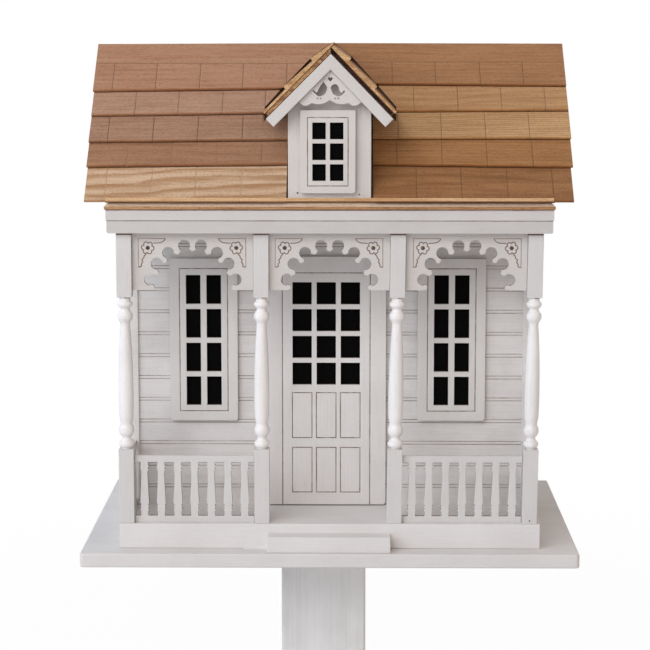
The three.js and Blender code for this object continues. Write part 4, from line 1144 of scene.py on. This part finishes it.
def plank_levels(start, butt, shown, level, half):
    """Distances down the slope across a plank's top, each with the finish of the strip below it"""
    if shown is None:
        levels = [(start, WOOD), (start + 4, WOOD), (start + 8, WOOD)]
    else:
        levels = [(start, WOOD), ((start + shown) / 2, WOOD)]
        # Painted shade just below the butt of the course above
        levels += [(shown - 0.5, LAP_SHADE), (shown + 0.45, WOOD), (shown + 1.8, WOOD)]
    top = levels[-1][0]
    if level is not None:
        levels += [(top + (level - half - top) * share, WOOD) for share in (0.35, 0.7)]
        levels += [(level - half, SCORE), (level, SCORE), (level + half, WOOD)]
        top = level + half
    levels += [(top + (butt - 0.8 - top) * share, WOOD) for share in (0.2, 0.4, 0.6, 0.8)]
    return [*levels, (butt - 0.8, BUTT), (butt - 0.2, BUTT), (butt, BUTT)]


def plank(bm, course, butts, above, side, x_low, x_high, scores, level, seed, finishes):
    """One shingle plank as rings along the roof, with scored lines sunk into its top"""
    waver = detail().plank_waver / MM
    depth = detail().score_depth / MM
    half = detail().score_width / MM / 2
    reach = max(abs(x_low), abs(x_high))
    count = max(2, round((x_high - x_low) / RING_STEP))
    stations = {x_low, x_high, *(x_low + (x_high - x_low) * k / count for k in range(1, count))}
    lines = {x + noise.noise(Vector((x, seed, 3))) * 0.3 for x in scores if x_low + 1 < x < x_high - 1}
    stations = {x for x in stations if all(abs(x - line) > SCORE_ROOM for line in lines)}
    for line in lines:
        stations.update((line - half, line, line + half))
    rings = []
    for x in sorted(stations):
        butt = wandering(x, butts, reach, seed, waver)
        shown = wandering(x, above[0], reach, above[1], waver) if above else None
        start = course["upper"]
        span = butt - start
        outwards = min(abs(x) / SWELL_REACH, 1) * (1.0 if x < 0 else 0.55)
        swell = RIDGE_SWELL * (1 - outwards) if start == 0 else 0.0
        sunk = depth * (0.8 + 0.4 * noise.noise(Vector((x, seed, 1)))) if x in lines else 0.0
        bare = max(shown or 0.0, level or 0.0) + 0.3
        levels = plank_levels(start, butt, shown, level, half)
        kinds = [kind for _, kind in levels]
        profile = []
        for k, (s, _) in enumerate(levels):
            share = (s - start) / span
            bumpy = 0.07 * noise.noise(Vector((x * 0.06, s * 0.12, seed)))
            nose = 0.3 if share >= 1.0 else (0.07 if s > butt - 0.3 else 0.0)
            h = SEAT + SHINGLE + course["rise"] * share + bumpy * share - nose
            h += swell * max(0.0, 1 - s / SWELL_LENGTH)
            if s > bare:
                h -= sunk
            elif level is not None and s == level:
                h -= depth * 0.7
            if shown is None and k == 0:
                s = ridge_start(h)
            profile.append((s, h))
        foot = SEAT + course["rise"]
        notched = butt - sunk * 0.8
        profile += [(notched, foot + SHINGLE * 0.5), (notched - 0.12, foot)]
        profile.append((start + 0.5 * span, SEAT + 0.5 * course["rise"]))
        profile.append((ridge_start(SEAT) if shown is None else start, SEAT))
        ragged = 0.25 * noise.noise(Vector((seed, 5, 2))) if x in (x_low, x_high) else 0.0
        ring = []
        for s, h in profile:
            y, z = slope_point(RIDGE_TOP, ROOF_ANGLE, side, s, h)
            sawn = x + ragged * noise.noise(Vector((s * 0.3, seed, 1)))
            ring.append(bm.verts.new(Vector((sawn, y, z)) * MM))
        rings.append((x, ring))
    kinds += [BUTT, WOOD, WOOD, WOOD]
    first = kinds.index(SCORE) if SCORE in kinds else (4 if above else 2)
    size = len(rings[0][1])
    for (xa, ring), (xb, other) in zip(rings, rings[1:]):
        line = xa in lines or xb in lines
        for k in range(size):
            face = bm.faces.new((ring[k], ring[(k + 1) % size], other[(k + 1) % size], other[k]))
            scored = line and first <= k < size - 3
            face.material_index = finishes[SCORE] if scored else finishes[kinds[k]]
    for _, ring in (rings[0], rings[-1]):
        bm.faces.new(ring).material_index = finishes[BUTT]


def ridge_start(h):
    """Where a plank's upper end meets the plumb line through the ridge, at a height off the slope"""
    return GAP / math.cos(ROOF_ANGLE) - h * math.tan(ROOF_ANGLE)


def dormer_lean(x, z):
    """A point of the dormer's roof, which stands a little to the right and up at its top"""
    share = max(0.0, (z - LEAN_START) / LEAN_HEIGHT)
    return x + LEAN * share, min(z + LEAN * share, max(z, LEAN_LIMIT))


def lean_dormer(bm):
    for vert in bm.verts:
        x, z = dormer_lean(vert.co.x / MM, vert.co.z / MM)
        vert.co.x = x * MM
        vert.co.z = z * MM


def dormer_stack():
    """How high the dormer's own shingles stand off its panels at the ridge"""
    return dormer_courses()[0]["rise"] + DORMER_CLEARANCE


def dormer_courses():
    return course_rises([share * DORMER_SLOPE for share in (0.24, 0.655, 1.0)], 0.0)


def dormer_space(reaches_under):
    """The space that the dormer takes out of the planks"""
    steep = math.cos(DORMER_PITCH)
    upper, middle, lower = dormer_courses()
    top = DORMER_TOP + DORMER_CLEARANCE / steep
    places = (
        (lower["butt"] + 0.3, DORMER_CLEARANCE + 1.2),
        (middle["butt"], middle["rise"] + DORMER_CLEARANCE),
        (upper["butt"], dormer_stack()),
    )
    slope = [slope_point(DORMER_TOP, DORMER_PITCH, 1, s, h) for s, h in places]
    eave = slope[0][0]
    if reaches_under:
        under = DORMER_PEAK - 1.0 / steep
        wall = DORMER_HALF + 1.4
        right = [(wall, DORMER_FOOT), (wall, under - wall), (eave, under - eave), *slope]
    else:
        right = [(eave, DORMER_FOOT), *slope]
    outline = [*right, (0, top), *((-x, z) for x, z in reversed(right))]
    outline = [dormer_lean(x, z) for x, z in outline]
    bm = bmesh.new()
    skin(bm, [[Vector((x, y, z)) * MM for x, z in outline] for y in (-128.0, 4.0)])
    return cutter_piece(bm)


def plank_finishes(label, tone, turn, seed, scored=0.8):
    """The wood of a plank, its scored lines, its butt and the painted shade under the butt above it"""
    edge = [tuple(c * g for c, g in zip(tint, (0.93, 0.86, 0.76))) for tint in tone[:2]]
    return [
        plank_wood(label, tone, turn, seed),
        plank_wood(label + " score", darker(tone, scored), turn, seed + 1),
        plank_wood(label + " butt", (*edge, 500, 0.2, 0.1, 0.6), turn, seed + 2),
        plank_wood(label + " lap line", darker(tone, 0.45), turn, seed + 3),
    ]


def make_front_planks():
    spaces = (dormer_space(False), dormer_space(True))
    sides = (
        ("left", -1, LEFT_BUTTS, LEFT_SCORES, LEFT_TONES, LEFT_TRIMS, "left_shingle_wood"),
        ("right", 1, RIGHT_BUTTS, RIGHT_SCORES, RIGHT_TONES, RIGHT_TRIMS, "right_shingle_wood"),
    )
    for label, sign, butts, scores, tones, trims, slot in sides:
        courses = course_rises([(a + b) / 2 for a, b in butts])
        for i, course in enumerate(courses):
            longer, scored = trims[i]
            end = HALF_PLANK * PLANK_SHARES[i] + longer
            low, high = sorted((sign * GAP, sign * end))
            bm = bmesh.new()
            seed = 20 + 10 * i + (sign + 1)
            above = (butts[i - 1], seed - 10) if i else None
            level = None if i else LEVEL_SCORES[sign]
            plank(bm, course, butts[i], above, -1, low, high, scores[i], level, seed, (0, 1, 2, 3))
            title = "%s plank %d" % (label.title(), i + 1)
            finishes = plank_finishes(title, tones[i], -ROOF_ANGLE, seed, scored)
            node = "shingle_%s_%d" % (label, i + 1)
            made = cover_node(node, "_plank", bm, finishes)
            cut_away(made, spaces[0] if i < 2 else spaces[1])
    for space in spaces:
        bpy.data.objects.remove(space)


def make_rear_planks():
    bm = bmesh.new()
    finishes = []
    courses = course_rises([(a + b) / 2 for a, b in REAR_BUTTS])
    for i, course in enumerate(courses):
        kinds = tuple(range(4 * i, 4 * i + 4))
        finishes += plank_finishes("Rear plank %d" % (i + 1), REAR_TONES[i], ROOF_ANGLE, 90 + 4 * i)
        end = HALF_PLANK
        above = (REAR_BUTTS[i - 1], 69 + i) if i else None
        level = None if i else REAR_LEVEL_SCORE
        plank(bm, course, REAR_BUTTS[i], above, 1, -end, end, REAR_SCORES[i], level, 70 + i, kinds)
    place_piece("rear_planks", bm, finishes, ("rear_shingles",))


# ---------------------------------------------------------------- dormer


def off_middle(edge):
    return any(abs(vert.co.x) > 1e-6 for vert in edge.verts)


def make_dormer_boards():
    # The dormer's boards, bargeboards and fretwork get darker paint than the white paint: painted shade
    upright = light_shaded_paint("Dormer paint upright", DORMER_UPRIGHT_SHADE, ALONG_Z)
    level = light_shaded_paint("Dormer paint", (0.98, 0.955, 0.93))
    for name in ("dormer_front", "dormer_cheek_left", "dormer_cheek_right"):
        bm = node_mesh(name)
        ease(bm, detail().board_edge * 0.7)
        cover_node(name, "_board", bm, [upright])
    for name in ("bargeboard_left", "bargeboard_right"):
        bm = board_mesh(name)
        for vert in bm.verts:
            if abs(vert.co.x) < 0.0003:
                vert.co.x = 0.0
        ease(bm, detail().sheet_edge * 1.3, keep=off_middle)
        lean_dormer(bm)
        cover_node(name, "_board", bm, [level])
    bm = node_mesh("dormer_fretwork")
    mark_sawn_faces(bm, *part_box("dormer_fretwork"), 1)
    ease(bm, PLY_ROUNDING)
    lean_dormer(bm)
    cover_node("dormer_fretwork", "_sawn", bm, [level, sawn_finish()])


def make_small_marks():
    """Brad heads, the birds' feet, and painted shadow lines where the fretwork meets the bargeboards"""
    rust = groove_finish("Rusty brad", 1.0, (900, 900, 900), (0.16, 0.06, 0.04))
    bm = bmesh.new()
    brads = ((-22.4, -114.5, 365.2, 0.75), (20.9, -114.5, 364.1, 0.6), (143.4, -109.05, 129.4, 0.6))
    for x, y, z, radius in brads:
        add_boss(bm, Vector((x, y, z)) * MM, radius * MM, 0.0001)
    place_piece("brad_heads", bm, [rust])
    # Dark lines: the birds' real feet, and painted shadow along the bargeboards
    line = groove_finish("Fretwork line", 0.9, (200, 200, 200), (0.40, 0.32, 0.28))
    bm = bmesh.new()
    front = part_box("dormer_fretwork")[0].y
    for x in (-8.4, -6.3, 3.9, 6.1):
        for lean in (-0.55, 0.0, 0.55):
            ends = ((x, 432.0), (x + lean, 430.8))
            tube(bm, [Vector((across * MM, front, up * MM)) for across, up in ends], 0.00016)
    # Painted shadow: dark lines on the fretwork along the bargeboards' inner edges
    low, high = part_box("bargeboard_right")
    across = BARGEBOARD * math.sin(DORMER_PITCH) * MM
    for sign in (-1, 1):
        top = high.z - BARGEBOARD / math.cos(DORMER_PITCH) * MM
        ends = ((0, top), (sign * (high.x - across), low.z))
        leaned = [dormer_lean(x / MM, z / MM) for x, z in ends]
        tube(bm, [Vector((x * MM, front - 0.0001, z * MM)) for x, z in leaned], 0.00026)
    place_piece("fretwork_lines", bm, [line])


def make_dormer_roof():
    tones = (
        ("Dormer board ends", ((0.86, 0.72, 0.53), (0.62, 0.43, 0.27), 420, 0.35, 0.2, 0.6)),
        ("Dormer boards", ((0.74, 0.57, 0.42), (0.58, 0.41, 0.28), 260, 0.4, 0.1, 0.4)),
        ("Dormer panel end", ((0.80, 0.62, 0.42), (0.44, 0.28, 0.18), 600, 0.4, 0.2, 1.0)),
        ("Dormer panel scorched", ((0.26, 0.15, 0.12), (0.12, 0.07, 0.06), 600, 0.5, 0.2, 1.0)),
    )
    # The right panel's end is near-black: painted shade in the gap behind the bargeboard
    pale, deep, pitted, right_end_shade = (plank_wood(*each, 0.0, 55 + k) for k, each in enumerate(tones))
    for name, ending, end, slot in (
        ("dormer_roof_left", "_ply", pitted, "plywood"),
        ("dormer_roof_right", "_ply", right_end_shade, "plywood"),
        ("dormer_shingles_left", "_boards", pale, "pale_shingle_wood"),
        ("dormer_shingles_right", "_boards", pale, "pale_shingle_wood"),
    ):
        bm = node_mesh(name)
        for face in bm.faces:
            if face.normal.y < -0.9:
                face.material_index = 1
        ease(bm, PLY_ROUNDING)
        lean_dormer(bm)
        cover_node(name, ending, bm, [deep, end])


# ---------------------------------------------------------------- hatch and button


def make_hatch():
    bm = node_mesh("cleanout_hatch")
    mark_sunk_faces(bm, 1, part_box("cleanout_hatch")[1].y, -ENGRAVING)
    finishes = [lit_siding_paint(), groove_finish()]
    place_piece("hatch_board", bm, finishes, ("cleanout_hatch",), "hatch")
    for name in ("hatch_pin_left", "hatch_pin_right"):
        bm = node_mesh(name)
        ease(bm, 0.0002, angle=60)
        body = frame["nodes"][name]["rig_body"]
        cover_node(name, "_wire", bm, [metal("Steel", looks().steel, 0.3)], body)


def make_button():
    bm = node_mesh("turn_button")
    ease(bm, 0.0007, angle=60, segments=3)
    cover_node("turn_button", "_wood", bm, [white_paint()], "turn_button")
    bm = node_mesh("turn_button_screw")
    ease(bm, 0.0004, angle=60, segments=3)
    body = frame["nodes"]["turn_button_screw"]["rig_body"]
    brass = metal("Brass", looks().brass, 0.25)
    made = cover_node("turn_button_screw", "_slotted", bm, [brass], body)
    low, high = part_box("turn_button_screw")
    x, _, z = (low + high) / 2 / MM
    face = high.y / MM
    slot = bmesh.new()
    add_block(slot, (x - 4, face - 0.8, z - 0.35), (x + 4, face + 1, z + 0.35), 0.00001, 1)
    cutter = cutter_piece(slot)
    cut_away(made, cutter)
    bpy.data.objects.remove(cutter)


# ---------------------------------------------------------------- stage


def backdrop_share(tree):
    """One for rays that should see plain white: camera, mirror and glass rays"""
    path = add_node(tree, "LightPath").outputs
    seen = calc(tree, "MAXIMUM", path["Is Camera Ray"], path["Is Glossy Ray"])
    return calc(tree, "MAXIMUM", seen, path["Is Transmission Ray"])


def make_stage(studio):
    bm = bmesh.new()
    bmesh.ops.create_grid(bm, x_segments=8, y_segments=8, size=4.0)
    floor = link_mesh("floor", bm)
    pale, tree, shader = new_finish("Pale floor")
    shader.inputs["Base Color"].default_value = (0.82, 0.81, 0.80, 1)
    shader.inputs["Roughness"].default_value = 0.9
    shader.inputs["Specular IOR Level"].default_value = 0.0
    glow = add_node(tree, "Emission", {"Color": (1, 1, 1), "Strength": 1.0})
    away = add_node(tree, "VectorMath", {0: seen_place(tree)}, operation="LENGTH").outputs["Value"]
    share = calc(tree, "MULTIPLY_ADD", ramp(tree, away, 0.15, 0.8), 0.03, 0.97)
    share = calc(tree, "MULTIPLY", backdrop_share(tree), share)
    mixed = add_node(tree, "MixShader", {0: share, 1: shader.outputs[0], 2: glow.outputs[0]})
    plug(tree, mixed.outputs[0], tree.nodes["Material Output"].inputs["Surface"])
    floor.data.materials.append(pale)

    world = bpy.data.worlds.new("Studio")
    bpy.context.scene.world = world
    world.use_nodes = True
    tree = world.node_tree
    tree.nodes.clear()
    toward = add_node(tree, "TexCoord").outputs["Generated"]
    toward = add_node(tree, "SeparateXYZ", {"Vector": toward}).outputs
    right = ramp(tree, toward["X"], -0.9, 0.9)
    tint = blend(tree, right, (0.79, 0.955, 1.23), (1.12, 0.91, 0.73))
    bright = calc(tree, "MULTIPLY_ADD", right, -0.48, 1.24)
    high = calc(tree, "MULTIPLY_ADD", ramp(tree, toward["Z"], 0.1, 0.95), -0.35, 1.0)
    bright = calc(tree, "MULTIPLY", calc(tree, "MULTIPLY", bright, high), studio.room_light)
    room = add_node(tree, "Background", {"Color": tint, "Strength": bright})
    white = add_node(tree, "Background", {"Color": (1, 1, 1), "Strength": 1.0})
    share = backdrop_share(tree)
    mixed = add_node(tree, "MixShader", {0: share, 1: room.outputs[0], 2: white.outputs[0]})
    add_node(tree, "OutputWorld", {"Surface": mixed.outputs[0]})

    target = Vector((0, -0.05, 0.28))
    lamps = (
        ("window_lamp", -54, 20, 2.4, 1.1, studio.window_power, (0.96, 0.985, 1.0)),
        ("front_lamp", -24, 34, 3.0, 1.7, studio.front_power, (1.0, 0.985, 0.965)),
    )
    for name, azimuth, elevation, distance, size, power, colour in lamps:
        lamp = bpy.data.lights.new(name, "AREA")
        lamp.shape = "SQUARE"
        lamp.size = size
        lamp.energy = power
        lamp.color = colour
        made = bpy.data.objects.new(name, lamp)
        a, e = math.radians(azimuth), math.radians(elevation)
        back = Vector((math.sin(a) * math.cos(e), -math.cos(a) * math.cos(e), math.sin(e)))
        made.location = target + back * distance
        made.rotation_mode = "QUATERNION"
        made.rotation_quaternion = (-back).to_track_quat("-Z", "Y")
        bpy.context.scene.collection.objects.link(made)

    view = bpy.data.cameras.new("camera")
    view.lens = studio.lens
    view.sensor_width = 36
    view.clip_start = 0.05
    view.clip_end = 50
    camera = bpy.data.objects.new("camera", view)
    camera.location = studio.camera_place
    camera.rotation_euler = (math.pi / 2 - studio.camera_tilt, 0, studio.camera_turn)
    bpy.context.scene.collection.objects.link(camera)
    bpy.context.scene.camera = camera
    bpy.context.scene.view_settings.view_transform = "Standard"


# ---------------------------------------------------------------- operators


class BIRDHOUSE_OT_base(bpy.types.Operator):
    """Makes the mounting post, base board, floor slab, step and filler bead"""

    bl_idname = "birdhouse.base"
    bl_label = "Post, Base and Step"

    def execute(self, context):
        make_mounting_post()
        make_base()
        make_glue_bead()
        return {"FINISHED"}


class BIRDHOUSE_OT_walls(bpy.types.Operator):
    """Makes the four walls and the two gables with their engraved siding"""

    bl_idname = "birdhouse.walls"
    bl_label = "Walls and Gables"

    def execute(self, context):
        make_walls()
        return {"FINISHED"}


class BIRDHOUSE_OT_windows(bpy.types.Operator):
    """Makes the window plates and the door plate, and gives the black cards behind them their finish"""

    bl_idname = "birdhouse.windows"
    bl_label = "Windows and Door"

    def execute(self, context):
        make_windows()
        return {"FINISHED"}


class BIRDHOUSE_OT_posts(bpy.types.Operator):
    """Turns the four porch posts"""

    bl_idname = "birdhouse.posts"
    bl_label = "Porch Posts"

    def execute(self, context):
        make_posts()
        return {"FINISHED"}


class BIRDHOUSE_OT_railings(bpy.types.Operator):
    """Makes the sawn railings of the porch"""

    bl_idname = "birdhouse.railings"
    bl_label = "Railings"

    def execute(self, context):
        make_railings()
        return {"FINISHED"}


class BIRDHOUSE_OT_brackets(bpy.types.Operator):
    """Makes the fretwork brackets with their engraved flowers"""

    bl_idname = "birdhouse.brackets"
    bl_label = "Fretwork Brackets"

    def execute(self, context):
        make_brackets()
        return {"FINISHED"}


class BIRDHOUSE_OT_cornice(bpy.types.Operator):
    """Makes the cornice and the plywood roof plate"""

    bl_idname = "birdhouse.cornice"
    bl_label = "Cornice and Roof Plate"

    def execute(self, context):
        make_cornice()
        return {"FINISHED"}


class BIRDHOUSE_OT_panels(bpy.types.Operator):
    """Makes the plywood roof panels and the strip along the front eave"""

    bl_idname = "birdhouse.panels"
    bl_label = "Roof Panels and Eave Strip"

    def execute(self, context):
        make_roof_panels()
        return {"FINISHED"}


class BIRDHOUSE_OT_planks(bpy.types.Operator):
    """Makes the scored shingle planks of the front and rear slopes"""

    bl_idname = "birdhouse.planks"
    bl_label = "Shingle Planks"

    def execute(self, context):
        make_front_planks()
        make_rear_planks()
        return {"FINISHED"}


class BIRDHOUSE_OT_dormer(bpy.types.Operator):
    """Makes the dormer's boards, fretwork, roof panels and shingles"""

    bl_idname = "birdhouse.dormer"
    bl_label = "Dormer"

    def execute(self, context):
        make_dormer_boards()
        make_dormer_roof()
        make_small_marks()
        return {"FINISHED"}


class BIRDHOUSE_OT_hatch(bpy.types.Operator):
    """Makes the clean-out hatch on its pins, and the turn button with its screw"""

    bl_idname = "birdhouse.hatch"
    bl_label = "Hatch and Turn Button"

    def execute(self, context):
        make_hatch()
        make_button()
        return {"FINISHED"}


class BIRDHOUSE_OT_stage(bpy.types.Operator):
    """Makes the floor, the lamps, the room light and the camera"""

    bl_idname = "birdhouse.stage"
    bl_label = "Stage"

    def execute(self, context):
        make_stage(context.scene.birdhouse_studio)
        return {"FINISHED"}


STEPS = (
    BIRDHOUSE_OT_base,
    BIRDHOUSE_OT_walls,
    BIRDHOUSE_OT_windows,
    BIRDHOUSE_OT_posts,
    BIRDHOUSE_OT_railings,
    BIRDHOUSE_OT_brackets,
    BIRDHOUSE_OT_cornice,
    BIRDHOUSE_OT_panels,
    BIRDHOUSE_OT_planks,
    BIRDHOUSE_OT_dormer,
    BIRDHOUSE_OT_hatch,
    BIRDHOUSE_OT_stage,
)


class BIRDHOUSE_PT_sidebar(bpy.types.Panel):
    """Lists the birdhouse's pieces, sizes and finishes"""

    bl_idname = "BIRDHOUSE_PT_sidebar"
    bl_label = "Cottage Birdhouse"
    bl_space_type = "VIEW_3D"
    bl_region_type = "UI"
    bl_category = "Birdhouse"

    def draw(self, context):
        layout = self.layout
        for step in STEPS:
            layout.operator(step.bl_idname)
        for group in (
            context.scene.birdhouse_sizes,
            context.scene.birdhouse_finishes,
            context.scene.birdhouse_studio,
        ):
            box = layout.box()
            for name in group.__annotations__:
                box.prop(group, name)


CLASSES = (BirdhouseSizes, BirdhouseFinishes, BirdhouseStudio, *STEPS, BIRDHOUSE_PT_sidebar)


def register():
    for each in CLASSES:
        bpy.utils.register_class(each)
    bpy.types.Scene.birdhouse_sizes = PointerProperty(type=BirdhouseSizes)
    bpy.types.Scene.birdhouse_finishes = PointerProperty(type=BirdhouseFinishes)
    bpy.types.Scene.birdhouse_studio = PointerProperty(type=BirdhouseStudio)


def unregister():
    del bpy.types.Scene.birdhouse_studio
    del bpy.types.Scene.birdhouse_finishes
    del bpy.types.Scene.birdhouse_sizes
    for each in reversed(CLASSES):
        bpy.utils.unregister_class(each)


def main():
    register()
    for step in STEPS:
        area, name = step.bl_idname.split(".")
        getattr(getattr(bpy.ops, area), name)()


if __name__ == "__main__":
    main()
